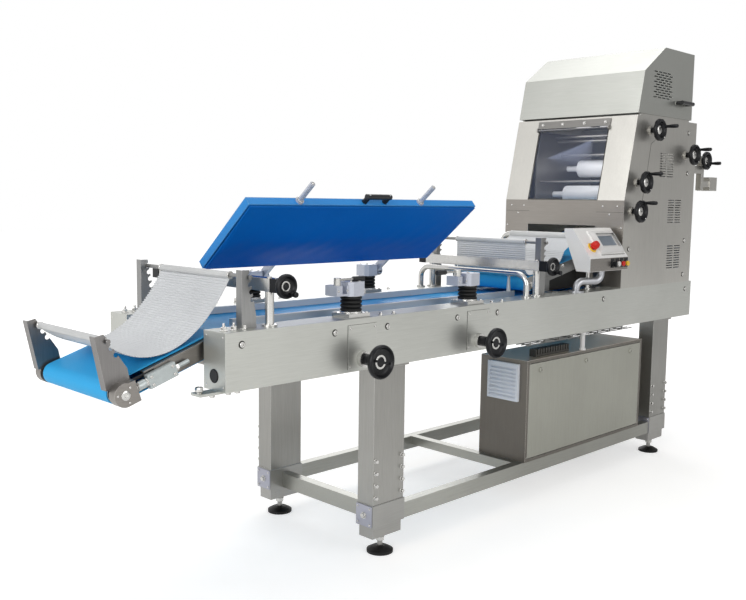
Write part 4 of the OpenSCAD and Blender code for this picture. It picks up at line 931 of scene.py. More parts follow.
# The discharge frame's steel is painted darker than the rest: painted shade on its side plates.
DISCHARGE_STEEL = Finish("discharge_steel", "alloy", "938f8a", "7c7874", 0.34, 0.88, Grain.BRUSHED_X, 0.08, 0.06,
                         edge_highlight="d9d7d3")
# A darker copy of the brushed steel for the racks' arms at the far left: painted shade.
RACK_STEEL = Finish("rack_steel", "stainless", "8a8886", "737170", 0.34, 0.88, Grain.BRUSHED_Z, 0.08, 0.06,
                    edge_highlight="cfcdca")
GUIDE_ALLOY = Finish("guide_alloy", "alloy", "c9ccd0", "b4b7bb", 0.4, 0.3, Grain.BRUSHED_X, 0.08, 0.06, edge_highlight="e6e8ea")
BLACK = Finish("moulded_black", "black_plastic", "0b0c0f", "16171b", 0.34, 0.0, Grain.MOULDED, 0.12, 0.12,
               edge_highlight="2a2b31", gloss=0.25)
RUBBER = Finish("ribbed_rubber", "black_rubber", "0d0d0d", "191919", 0.5, 0.0, Grain.MOULDED, 0.15, 0.15,
                edge_highlight="2b2b2b", gloss=0.25)
BELT = Finish("belt_blue", "blue_belt", "3ab2ee", "2ea3e2", 0.5, 0.0, Grain.SATIN, 0.12, 0.1, edge=0.0006,
              edge_highlight="4a9be0", threads=(420.0, 420.0), gloss=0.2)
BOARD_BLUE = Finish("board_blue", "blue_board", "2a90dd", "2284d2", 0.42, 0.0, Grain.SATIN, 0.1, 0.04, edge=0.006,
                    edge_highlight="8cc6ea", gloss=0.3)
LINING = Finish("lining_blue", "blue_lining", "056cc6", "0460b2", 0.5, 0.0, Grain.SATIN, 0.12, 0.08, edge=0.002,
                edge_highlight="1f6fc4", threads=(500.0, 500.0), gloss=0.15)
WIRE = Finish("woven_wire", "wire_mat", "dadcde", "a4a6aa", 0.45, 0.2, Grain.SATIN, 0.1, 0.5, edge=0.0004,
              threads=(420.0, 300.0), own_map=True)
WIRE_PLAIN = Finish("mat_sleeve", "wire_mat", "d6d7d7", "bcbdbd", 0.4, 0.15, Grain.BRUSHED_Y, 0.1, 0.15, edge=0.0006)
WHITE = Finish("moulded_white", "white_plastic", "dcdbda", "d0cfcd", 0.35, 0.0, Grain.MOULDED, 0.1, 0.05,
               edge_highlight="f8f7f5")
MOTOR_PAINT = Finish("motor_paint", "grey_paint", "6d7d92", "5b6a7d", 0.42, 0.0, Grain.SATIN, 0.1, 0.08,
                     edge_highlight="93a0b0")
RED = Finish("red_cap", "red_plastic", "d41a0c", "be140a", 0.3, 0.0, Grain.MOULDED, 0.08, 0.03,
             edge_highlight="ea4a2c", gloss=0.3)
YELLOW = Finish("yellow_cap", "yellow_plastic", "efc21b", "e0b110", 0.32, 0.0, Grain.MOULDED, 0.08, 0.03,
                edge_highlight="f8dc62", coat=0.3)
DARK = Finish("dark_gap", "black_plastic", "0a0a0b", "141416", 0.7, 0.0, Grain.MOULDED, 0.1, 0.02)
GASKET = Finish("dark_seam", "black_rubber", "3a3833", "2b2a27", 0.6, 0.0, Grain.MOULDED, 0.1, 0.05)
SCREEN = Finish("dark_display", "black_plastic", "8b949e", "78818b", 0.2, 0.0, Grain.SATIN, 0.04, 0.01, coat=0.3)
CLEAR = ClearFinish("clear_sheet", "clear_plastic", "9aa6c6", "8b97b8", 0.08, spread=0.02)
SHADOW_STEEL = Finish("inner_steel", "bright_steel", "8f8d8a", "74726f", 0.4, 0.7, Grain.BRUSHED_Y, 0.1, 0.06,
                      edge_highlight="b7b5b1")


def with_zone(finish: Finish, name: str, other: Finish, *boxes: dict[str, Pair]) -> Finish:
    """A finish with boxes of another.

    Args:
        finish: The main finish.
        name: The new material's name.
        other: The finish inside the boxes.
        boxes: The ends of each box in millimetres in the table's frame, for those of x, y and z that it has.

    Returns:
        The new finish.
    """
    anywhere = (-2e3 * FAR, 2e3 * FAR)
    corners = []
    for box in boxes:
        ends = [[(v - middle) / 1000 for v in box.get(axis, anywhere)] for axis, middle in zip("xyz", MIDDLE)]
        corners.append(tuple(zip(*ends)))
    return replace(finish, name=name, zone=Zone(tuple(corners), other))


@dataclass
class NodeDress:
    """The finishes of the CAD nodes that stay as they are."""

    plan: dict[Finish, tuple[str, ...]] = field(default_factory=lambda: {
        # The lower front plate is painted darker as shade for its darker reflection.
        with_zone(STEEL, "head_steel", FRONT_PLATE, {"x": (780, 792), "z": (905, 1325)}): ("head_shell",),
        STEEL: ("rear_bracket",),
        BEAM_STEEL: ("side_beams",),
        LEG_STEEL: ("legs",),
        RAIL_STEEL: ("frame_rails",),
        with_zone(HOOD_STEEL, "hood_steel", BLACK, {"y": (-500, -351.5)}): ("hood",),
        # The shell is painted darker as shade under the table, and its top lighter as painted light.
        with_zone(BOX_STEEL, "box_steel", BOX_TOP, {"z": (628.5, 640)}): ("cabinet_shell",),
        DOOR_STEEL: ("cabinet_door",),
        # The racks' arms at the far left are painted darker as shade.
        with_zone(BRUSHED, "rack_plates", RACK_STEEL, {"x": (-2100, -1650)}): ("mat_racks",),
        BRUSHED: ("infeed_frame",),
        BRUSHED_X: ("belt_bed",),
        # Painted glare on the console's lit faces, and painted shade on its front face.
        with_zone(CASE, "case_steel", CASE_FRONT, {"y": (-405, -399), "z": (1000, 1059)}): ("console_case",),
        JACK_ALLOY: ("jack_heads",),
        STAND_STEEL: ("console_stand",),
        BRIGHT: ("bridges", "guard_tubes", "jack_bases",
                 "drive_drum", "nose_roller", "infeed_nose_roller", "infeed_drive_roller"),
        SHADOW_STEEL: ("head_fittings",),
        SHOE: ("leg_shoes",),
        # The side plates are painted darker as shade; the zinc blocks keep their own colour.
        with_zone(DISCHARGE_STEEL, "discharge_plates", ZINC, {"x": (-1763, -1570), "y": (-400, -225.5)},
                  {"x": (-1763, -1570), "y": (225.5, 400)}): ("discharge_frame",),
        GUIDE_ALLOY: ("front_guide_rail", "rear_guide_rail"),
        BLACK: ("bridge_end_blocks", "selector_switch", "left_jack_wheel", "right_jack_wheel", "outfeed_wheel",
                "infeed_wheel", "duster_wheel", "upper_gap_wheel", "lower_gap_wheel", "tray_wheel", "rear_wheel"),
        RUBBER: ("foot_pads", "jack_bellows"),
        BELT: ("main_belt", "infeed_belt"),
        BOARD_BLUE: ("board_panel",),
        LINING: ("board_lining",),
        with_zone(JACK_ALLOY, "stud_steel", BLACK, {"x": (-695, -555)}): ("board_fittings",),
        with_zone(BRIGHT, "left_lever_steel", BLACK, {"x": (-957, -800)}): ("left_clamp_lever",),
        with_zone(BRIGHT, "right_lever_steel", BLACK, {"x": (-600, -458)}): ("right_clamp_lever",),
        WIRE: ("outfeed_mat", "curl_mat"),
        VENT_WHITE: ("vent_grille",),
        ROLLER_WHITE: ("upper_roller", "upper_back_roller", "lower_roller", "lower_back_roller"),
        WHITE: ("start_button",),
        with_zone(TRAY_WIRE, "tray_steel", COMB, {"z": (629, 665)}): ("cable_run",),
        MOTOR_PAINT: ("gear_motor",),
        CLEAR: ("window_flap",),
        RED: ("emergency_stop", "stop_button"),
        YELLOW: ("reset_button",),
    })

    def apply(self) -> None:
        """Puts each finish on its nodes' own material slots."""
        for finish, nodes in self.plan.items():
            for name in nodes:
                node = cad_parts[name]
                if not node.material_slots:
                    node.data.materials.append(finish.material())
                for slot in node.material_slots:
                    slot.material = finish.material()
                LOG.info("%s: %s", name, finish.name)


@dataclass
class Studio:
    """Camera, soft lamps, pale floor and white surroundings.

    Each lamp has a name, a place, what it points at, a size in metres and a power in watts.
    """

    eye: Point = (-3.06879, -2.51985, 1.30538)
    right: Point = (0.71027, -0.70380, 0.01329)
    up: Point = (0.06779, 0.08718, 0.99388)
    ahead: Point = (0.70065, 0.70503, -0.10963)
    lens: float = 43.21
    ambient: float = 0.36
    dim_side: Point = (0.93, -0.25, 0.28)
    dim_from: Pair = (0.35, 0.95)
    dim: float = 0.42
    floor_size: float = 60.0
    glow_from: Pair = (2.0, 7.0)
    glow: Pair = (0.5, 0.85)
    floor_colour: str = "dcdbd9"
    speck_colour: str = "e4e4e3"
    lamps: tuple[tuple[str, Point, Point, float, float], ...] = (
        ("left_softbox", (-7.8, -2.0, 3.4), (0.3, 0.0, 0.9), 4.5, 240.0),
        ("back_left_softbox", (-5.2, 2.6, 4.6), (0.9, 0.0, 1.6), 2.8, 44.0),
        ("front_softbox", (0.6, -6.5, 3.4), (0.2, 0.0, 0.9), 4.0, 130.0),
        ("top_softbox", (1.6, 1.4, 6.2), (0.4, 0.0, 0.9), 4.5, 112.0),
        ("rear_softbox", (4.2, 5.0, 3.4), (0.2, 0.0, 0.9), 3.5, 70.0),
        ("roller_fill", (0.93, 0.05, 1.62), (1.09, 0.0, 1.44), 0.24, 0.5),
    )

    def build(self) -> None:
        """Sets the scene."""
        self._camera()
        for lamp in self.lamps:
            self._lamp(*lamp)
        self._floor()
        self._surroundings()
        bpy.context.scene.view_settings.view_transform = "Standard"

    def _camera(self) -> None:
        """Sets the camera where the photograph was taken."""
        data = bpy.data.cameras.new("camera")
        data.lens = self.lens
        data.sensor_width = 36.0
        data.clip_end = 200.0
        camera = bpy.data.objects.new("camera", data)
        turn = Matrix((self.right, self.up, [-a for a in self.ahead])).transposed().to_4x4()
        camera.matrix_world = Matrix.Translation(self.eye) @ turn
        bpy.context.collection.objects.link(camera)
        bpy.context.scene.camera = camera

    def _lamp(self, name: str, place: Point, towards: Point, size: float, power: float) -> None:
        """Adds one square soft lamp.

        Args:
            name: The lamp's name.
            place: Where it hangs.
            towards: What it points at.
            size: The side of the square.
            power: Its power in watts.
        """
        data = bpy.data.lights.new(name, "AREA")
        data.size = size
        data.energy = power
        lamp = bpy.data.objects.new(name, data)
        lamp.location = place
        lamp.visible_camera = False
        lamp.rotation_euler = (Vector(towards) - Vector(place)).to_track_quat("-Z", "Y").to_euler()
        bpy.context.collection.objects.link(lamp)

    def _floor(self) -> None:
        """Lays a pale floor that keeps the object's shadow and looks white."""
        Bench.clear()
        bpy.ops.mesh.primitive_plane_add(size=self.floor_size)
        floor = Bench.made("floor")
        made, net = Net.of_material("pale_floor")
        spot = net.add("ShaderNodeTexCoord").outputs["Object"]
        tint = net.mix(net.noise(spot, 6.0), colour(self.floor_colour), colour(self.speck_colour))
        matte = net.add("ShaderNodeBsdfDiffuse", {"Color": tint})
        away = net.add("ShaderNodeVectorMath", {0: spot}, operation="LENGTH")
        far = net.ranged(away.outputs["Value"], self.glow_from, self.glow)
        way = net.add("ShaderNodeVectorMath", {0: spot}, operation="NORMALIZE")
        seen = self._seen(net, far, way.outputs[0])
        glow = net.add("ShaderNodeEmission", {"Color": (1, 1, 1, 1), "Strength": seen})
        both = net.add("ShaderNodeAddShader", {0: matte.outputs[0], 1: glow.outputs[0]})
        net.add("ShaderNodeOutputMaterial", {0: both.outputs[0]})
        floor.data.materials.append(made)

    def _seen(self, net: Net, strength: object, way: bpy.types.NodeSocket) -> bpy.types.NodeSocket:
        """A strength for rays that show the background: from the camera, through glass, and off gloss.

        Args:
            net: The nodes of the floor or the world.
            strength: The background's brightness.
            way: The direction in which it is seen, for the grey on the dim side in gloss.

        Returns:
            The strength, which is nothing for all other rays.
        """
        path = net.add("ShaderNodeLightPath")
        towards = net.add("ShaderNodeVectorMath", {0: way, 1: self.dim_side}, operation="DOT_PRODUCT")
        gloss = net.ranged(towards.outputs["Value"], self.dim_from, (1.0, self.dim))
        shown = net.sum("MAXIMUM", path.outputs["Is Camera Ray"], path.outputs["Is Transmission Ray"])
        shown = net.sum("MULTIPLY_ADD", path.outputs["Is Glossy Ray"], gloss, shown)
        return net.sum("MULTIPLY", shown, strength)

    def _surroundings(self) -> None:
        """White where the background shows, softer where it only lights, and greyer in gloss on the dim side."""
        world = bpy.data.worlds.new("studio")
        world.use_nodes = True
        bpy.context.scene.world = world
        net = Net(world.node_tree)
        way = net.add("ShaderNodeTexCoord").outputs["Generated"]
        strength = net.sum("MAXIMUM", self._seen(net, 1.0, way), self.ambient)
        glow = net.add("ShaderNodeBackground", {"Color": (1, 1, 1, 1), "Strength": strength})
        net.add("ShaderNodeOutputWorld", {0: glow.outputs[0]})


class Hardware:
    """Screws, bolts, rivets and knobs: one pattern of each, along +Z from the surface."""

    @staticmethod
    def cap_screw(width: float) -> Piece:
        """A low screw head with a socket.

        Args:
            width: The head's width.

        Returns:
            The screw head.
        """
        r, t = width / 2, width * 0.3
        return Bench.turned("cap_screw", [(0, -1), (r, -1), (r, t * 0.7), (r * 0.86, t), (r * 0.5, t),
                                          (r * 0.42, t * 0.4), (0, t * 0.4)], 20)

    @staticmethod
    def ring(inner: float, outer: float, tall: float, sides: int = 32) -> Piece:
        """A flat ring with eased edges, such as a washer or a clamp.

        Args:
            inner: The hole's radius.
            outer: The ring's radius.
            tall: Its thickness.
            sides: The number of flats round it.

        Returns:
            The ring.
        """
        ease = min(tall * 0.3, (outer - inner) * 0.2)
        return Bench.turned("ring", [(inner, 0), (outer - ease, 0), (outer, ease), (outer, tall - ease),
                                     (outer - ease, tall), (inner, tall), (inner, 0)], sides)

    @staticmethod
    def hex_head(width: float, tall: float, washer: float = 0.0) -> Piece:
        """A hexagon head or nut, with a washer under it where that is wider.

        Args:
            width: The width over flats.
            tall: The head's height.
            washer: The washer's diameter, or nothing.

        Returns:
            The head.
        """
        head = Bench.bar("hex_head", width / math.sqrt(3), tall, 6)
        with Edit(head) as edit:
            edit.faces(lambda c, n: n.z > 0.9).inset(width * 0.07).shift(0, 0, tall * 0.1)
        if not washer:
            return head
        Bench.moved(head, Matrix.Translation((0, 0, 2)))
        return Bench.joined("hex_bolt", [head, Hardware.ring(width * 0.3, washer / 2, 2.2, 24)])

    @staticmethod
    def rivet(width: float) -> Piece:
        """A flat domed rivet head.

        Args:
            width: The head's width.

        Returns:
            The rivet head.
        """
        r = width / 2
        return Bench.turned("rivet", [(0, -0.5), (r, -0.5), (r * 0.95, r * 0.12), (r * 0.7, r * 0.3),
                                      (0, r * 0.4)], 16)

    @staticmethod
    def lobed_knob(radius: float, length: float, lobes: int) -> Piece:
        """A grip knob with hollows between its lobes.

        Args:
            radius: The radius over the lobes.
            length: The knob's length.
            lobes: How many there are.

        Returns:
            The knob.
        """
        r, z = radius, length
        knob = Bench.turned("lobed_knob", [(0, 0), (r * 0.82, 0), (r, z * 0.15), (r, z * 0.8), (r * 0.85, z * 0.97),
                                           (r * 0.4, z), (r * 0.36, z * 0.94), (0, z * 0.94)], lobes * 6)
        with Edit(knob) as edit:
            edit.points(lambda p, n: p.xy.length > r * 0.78 and math.cos(lobes * math.atan2(p.y, p.x)) < -0.4)
            edit.grow(0.88, 0.88, 1.0)
        return knob


class Rim(Enum):
    """The kinds of handwheel rim."""

    DISHED = "dished"
    LOBED = "lobed"


@dataclass
class HandWheel:
    """A handwheel on the operator's side, with its hub, cap, crank and shaft, in millimetres.

    hub is the hub's radius and reach its length, shaft is the shaft's radius and depth its length, grip is the
    crank's length, and turn is where the crank stands, in degrees.
    """

    node: str
    x: float
    y: float
    z: float
    radius: float
    hub: float
    reach: float
    shaft: float
    depth: float
    rim: Rim = Rim.LOBED
    grip: float = 0.0
    turn: float = 0.0
    crossed: bool = False

    @property
    def place(self) -> Matrix:
        """Where the wheel's hub meets its shaft, facing the operator."""
        return Side.FRONT.at(self.x, self.y, self.z)

    def build(self) -> None:
        """Builds the wheel in place of its plain solid."""
        black = [self._wheel()]
        if self.grip:
            black.append(self._crank())
        if self.crossed:
            black.append(self._crossbar())
        self._hand_over("wheel", black, BLACK, (self.node,))
        self._hand_over("cap", self._bright(), BRIGHT)
        self._hand_over("shaft", [self._shaft()], BRIGHT)

    def _hand_over(self, what: str, pieces: list[Piece], finish: Finish, stands_for: Sequence[str] = ()) -> None:
        """Sets pieces of the wheel in place.

        Args:
            what: What the pieces are called.
            pieces: The pieces, in the wheel's own frame.
            finish: Their finish.
            stands_for: CAD nodes that they replace.
        """
        piece = Bench.joined(f"{self.node}.{what}", pieces)
        Bench.deliver(Bench.moved(piece, self.place), self.node, finish, stands_for)

    def _hub(self) -> list[Pair]:
        """The hub's profile, stepped where it is long.

        Returns:
            Radius and height of each point.
        """
        h, r = self.reach, self.hub
        if h < 20:
            return [(0, 0), (r - 1, 0), (r, 1), (r, h)]
        return [(0, 0), (r * 0.84, 0), (r * 0.9, 2), (r * 0.9, h * 0.42), (r * 0.78, h * 0.46), (r * 0.78, h * 0.56),
                (r * 0.98, h * 0.62), (r, h * 0.66), (r, h * 0.93)]

    def _wheel(self) -> Piece:
        """Hub, web and rim turned in one.

        Returns:
            The wheel, in its own frame.
        """
        h, r, c = self.reach, self.radius, self.radius * 0.27
        if self.rim is Rim.DISHED:
            round_off = [(r - 14, h - 1), (r - 5, h + 0.5), (r - 1.2, h + 4), (r, h + 9), (r, h + 15),
                         (r - 1.5, h + 19.5), (r - 4.5, h + 22), (r - 8, h + 21), (r - 10.5, h + 16),
                         (r - 13, h + 11), (r - 17, h + 8.5), (c + 1, h + 8), (c, h + 9), (c, h + 11.5),
                         (c - 2, h + 13), (0, h + 13.4)]
        else:
            round_off = [(r - 22, h), (r - 12, h - 1), (r - 4, h + 1.5), (r - 0.6, h + 7), (r, h + 12),
                         (r - 1.6, h + 17.5), (r - 6, h + 21.4), (r - 11, h + 22), (r - 15, h + 20),
                         (r - 17.5, h + 15), (r - 19, h + 10.5), (r - 22, h + 8), (r - 30, h + 8), (3, h + 8),
                         (3, h + 15), (0, h + 15.3)]
        wheel = Bench.turned("wheel", self._hub() + round_off, 60)
        if self.rim is Rim.LOBED:
            with Edit(wheel) as edit:
                edit.points(lambda p, n: p.xy.length > r - 5 and math.cos(6 * math.atan2(p.y, p.x)) < -0.45)
                edit.grow(0.945, 0.945, 1.0)
        return wheel

    def _bright(self) -> list[Piece]:
        """The ring of a dished wheel, or the cap and screw of a lobed one.

        Returns:
            The pieces, in the wheel's own frame.
        """
        h, r, c = self.reach, self.radius, self.radius * 0.27
        if self.rim is Rim.DISHED:
            ring = Hardware.ring(c + 1.5, c + 1.5 + r * 0.13, 2.4, 40)
            return [Bench.moved(ring, Matrix.Translation((0, 0, h + 8.2)))]
        cap = Bench.turned("cap", [(3.2, h + 7), (r * 0.4, h + 7), (r * 0.4, h + 10), (r * 0.37, h + 11.6),
                                   (r * 0.25, h + 13.2), (3.2, h + 13.8), (3.2, h + 7)], 40)
        screw = Bench.moved(Hardware.rivet(8), Matrix.Rotation(math.radians(-52), 4, "Z")
                            @ Matrix.Translation((r - 11, 0, h + 22)))
        return [cap, screw]

    def _crank(self) -> Piece:
        """The crank's grip at the rim.

        Returns:
            The grip, in the wheel's own frame.
        """
        g = self.grip
        grip = Bench.turned("crank", [(0, 0), (6, 0), (6, 12), (7.4, 13.5), (7.4, 16), (6.6, 17),
                                      (8.8, 11 + g * 0.45), (9.6, 11 + g * 0.72), (8.8, 11 + g * 0.95),
                                      (6.5, 11 + g), (0, 11 + g)], 24)
        rim = Matrix.Translation((self.radius - 11, 0, self.reach + 11))
        return Bench.moved(grip, Matrix.Rotation(math.radians(self.turn), 4, "Z") @ rim)

    def _crossbar(self) -> Piece:
        """The bar across the bright ring.

        Returns:
            The bar, in the wheel's own frame.
        """
        r, h = self.radius, self.reach
        bar = Bench.block("crossbar", (-r * 0.44, -4.5, h + 8), (r - 13, 4.5, h + 13))
        return Bench.moved(Bench.eased(bar, 1.6, 2), Matrix.Rotation(math.radians(-14), 4, "Z"))

    def _shaft(self) -> Piece:
        """The shaft behind the wheel, with eased ends and a groove for its clip.

        Returns:
            The shaft, in the wheel's own frame.
        """
        r, d = self.shaft, self.depth
        return Bench.turned("shaft", [(0, -d), (r - 1.5, -d), (r, -d + 1.5), (r, -d + 6), (r - 1, -d + 6.3),
                                      (r - 1, -d + 8), (r, -d + 8.3), (r, 0.8), (0, 0.8)], 24)


@dataclass
class Wheels:
    """All handwheels."""

    def build(self) -> None:
        """Builds each wheel."""
        for name, x in (("left_jack_wheel", -950.0), ("right_jack_wheel", -305.0)):
            HandWheel(name, x, -370.3, 757.0, radius=60.0, hub=22.0, reach=62.0, shaft=10.0, depth=660.8,
                      rim=Rim.DISHED, crossed=True).build()
        for name, x in (("outfeed_wheel", -1323.0), ("infeed_wheel", 152.0)):
            HandWheel(name, x, -370.3, 1035.0, radius=40.0, hub=17.0, reach=6.0, shaft=8.0, depth=720.3,
                      rim=Rim.DISHED, grip=24.0, turn=-60.0).build()
        for name, x, z, turn in (("duster_wheel", 1015.0, 1671.0, 25.0), ("upper_gap_wheel", 1397.0, 1567.0, 40.0),
                                 ("lower_gap_wheel", 906.0, 1413.0, 70.0), ("tray_wheel", 867.0, 1273.0, 70.0)):
            HandWheel(name, x, -358.3, z, radius=55.0, hub=15.0, reach=30.0, shaft=8.0, depth=32.0,
                      grip=62.0, turn=turn).build()
        HandWheel("rear_wheel", 1644.0, -330.3, 1548.0, radius=50.0, hub=15.0, reach=8.0, shaft=8.0, depth=42.0,
                  grip=52.0, turn=-20.0).build()


@dataclass
class Table:
    """Fasteners, seams and plugs of the table, its legs and its shoes.

    The seams are those of one access cover: low and high corners, as X from its middle and Z.
    """

    half: float = 350.0
    top: float = 900.0
    screw_z: float = 860.0
    screws: tuple[float, ...] = (-1468.0, -1080.0, -825.0, -436.0, -181.0, 638.0, 1462.0)
    jacks: Pair = (-950.0, -305.0)
    seams: tuple[tuple[Pair, Pair], ...] = (((-70.3, 724.0), (-68.9, 879.0)), ((68.9, 724.0), (70.3, 879.0)),
                                            ((-70.0, 878.6), (70.0, 879.8)))
    end: float = -1530.0
    end_mid: float = 292.5
    legs: Pair = (-795.0, 1240.0)
    leg_face: float = 338.0
    leg_mid: float = 298.0
    shoe_mid: float = 159.0
    shoe_top: float = 200.6
    nut_z: float = 45.0

    def build(self) -> None:
        """Builds the details on both sides."""
        self._cap_screws()
        self._covers()
        self._top_bolts()
        self._left_end()
        self._leg_bolts()
        self._shoes()

    @property
    def corners(self) -> list[tuple[float, int]]:
        """Each leg's X and side, negative for the operator's."""
        return [(x, s) for x in self.legs for s in (-1, 1)]

    def _cap_screws(self) -> None:
        """The large screws along the beams, each in a dark recess ring."""
        spots = [Side.facing(s).at(x, s * self.half, self.screw_z) for x in self.screws for s in (-1, 1)]
        Bench.set_out(Hardware.cap_screw(19), "beam_screws", spots, BRIGHT)
        Bench.set_out(Hardware.ring(9.7, 12.5, 0.7), "beam_screw_rings", spots, GASKET)

    def _covers(self) -> None:
        """Seams and corner screws of the two access covers."""
        y = -self.half
        seams, screws = [], []
        for x in self.jacks:
            for (left, low), (right, high) in self.seams:
                seam = Bench.block("seam", (x + left, y - 1, low), (x + right, y + 1, high))
                seams.append(Bench.eased(seam, 0.3, 1))
            screws += [Side.FRONT.at(x + dx, y - 2, z) for dx in (-60, 60) for z in (735, 868)]
        Bench.deliver(Bench.joined("cover_seams", seams), "frame", GASKET)
        Bench.set_out(Hardware.cap_screw(8), "cover_screws", screws, BRIGHT)

    def _top_bolts(self) -> None:
        """Hexagon bolts on the beam tops: three at each left end and pairs by the jacks."""
        ends = [Side.UP.at(x, s * 300, self.top, 20) for x in (-1500, -1462, -1424) for s in (-1, 1)]
        Bench.set_out(self._stud(), "end_studs", ends, BRIGHT)
        small = [Side.UP.at(x + dx, s * 328, self.top, 10) for x in self.jacks for dx in (112, 178) for s in (-1, 1)]
        Bench.set_out(Hardware.hex_head(11, 6, 18), "top_bolts", small, BRIGHT)

    @staticmethod
    def _stud() -> Piece:
        """A threaded stud with a washer and a nut.

        Returns:
            The stud, with its nut at zero.
        """
        nut = Hardware.hex_head(17, 9, 26)
        thread = Bench.turned("thread", [(0, 0), (4.6, 0)] + [(4.6 - 0.6 * (i % 2), 11 + i * 1.2) for i in range(10)]
                              + [(3.8, 23.4), (0, 23.8)], 16)
        return Bench.joined("stud", [nut, thread])

    def _left_end(self) -> None:
        """Plugs and rivets in the end plates, and the bracket's knob and bolts."""
        x, y = self.end, self.end_mid
        plug = Bench.turned("plug", [(0, -2), (22.5, -2), (22.5, 1), (21, 2.2), (18, 2.4), (17.4, 1.8), (0, 1.6)], 40)
        Bench.set_out(plug, "end_plugs", [Side.LEFT.at(x, s * 290, 761) for s in (-1, 1)], BLACK)
        rivets = [Side.LEFT.at(x, s * (y + dy), z) for s in (-1, 1) for dy in (-44, 44) for z in (730, 885)]
        Bench.set_out(Hardware.rivet(7), "end_rivets", rivets, BRIGHT)
        grip = Bench.moved(Hardware.lobed_knob(13, 16, 5), Matrix.Translation((0, 0, 4)))
        knob = Bench.joined("bracket_knob", [grip, Hardware.ring(4, 9, 5)])
        Bench.set_out(knob, "bracket_knobs", [Side.UP.at(-1587, -y, 714.5)], BRIGHT)
        under = [Side.DOWN.at(bolt, -y, 707, 15) for bolt in (-1540, -1479, -1444)]
        Bench.set_out(Hardware.hex_head(16, 9, 24), "bracket_bolts", under, BRIGHT)

    def _leg_bolts(self) -> None:
        """Bolts near both edges of the legs."""
        bolts = [Side.facing(s).at(x + dx, s * self.leg_face, z, 10)
                 for x, s in self.corners for dx in (-69, 69) for z in (229, 275, 321, 367)]
        Bench.set_out(Hardware.hex_head(13, 9, 18), "leg_bolts", bolts, BRIGHT)

    def _shoes(self) -> None:
        """Plates with screws on the shoes, weld beads on their tops and the feet's nuts."""
        y, z = self.leg_mid, self.shoe_mid
        outline = [(-37, -40), (37, -40), (41, -36), (41, 36), (37, 40), (-37, 40), (-41, 36), (-41, -36)]
        plate = Bench.eased(Bench.plate("shoe_plate", outline, 3.0), 0.8, 2)
        Bench.set_out(plate, "shoe_plates", [Side.LEFT.at(x - 84, s * y, z, 90) for x, s in self.corners], SHOE_PLATE)
        beads = []
        for x, s in self.corners:
            ring = [(x + dx * 80.8, s * y + dy * 40.8, self.shoe_top)
                    for dx, dy in ((-1, -1), (1, -1), (1, 1), (-1, 1))]
            beads.append(Bench.tube("bead", ring, 1.3, 1, True))
        Bench.deliver(Bench.joined("shoe_welds", beads), "frame", BRIGHT)
        screws = [Side.LEFT.at(x - 87, s * y + dy, z + dz)
                  for x, s in self.corners for dy in (-31, 31) for dz in (-30, 30)]
        Bench.set_out(Hardware.cap_screw(8), "shoe_screws", screws, BRIGHT)
        middles = [Side.LEFT.at(x - 87, s * y, z) for x, s in self.corners]
        Bench.set_out(Hardware.hex_head(17, 7, 26), "shoe_bolts", middles, BRIGHT)
        nuts = [Side.UP.at(x, s * y, self.nut_z, 12) for x, s in self.corners]
        Bench.set_out(Hardware.hex_head(30, 14), "foot_nuts", nuts, BRIGHT)


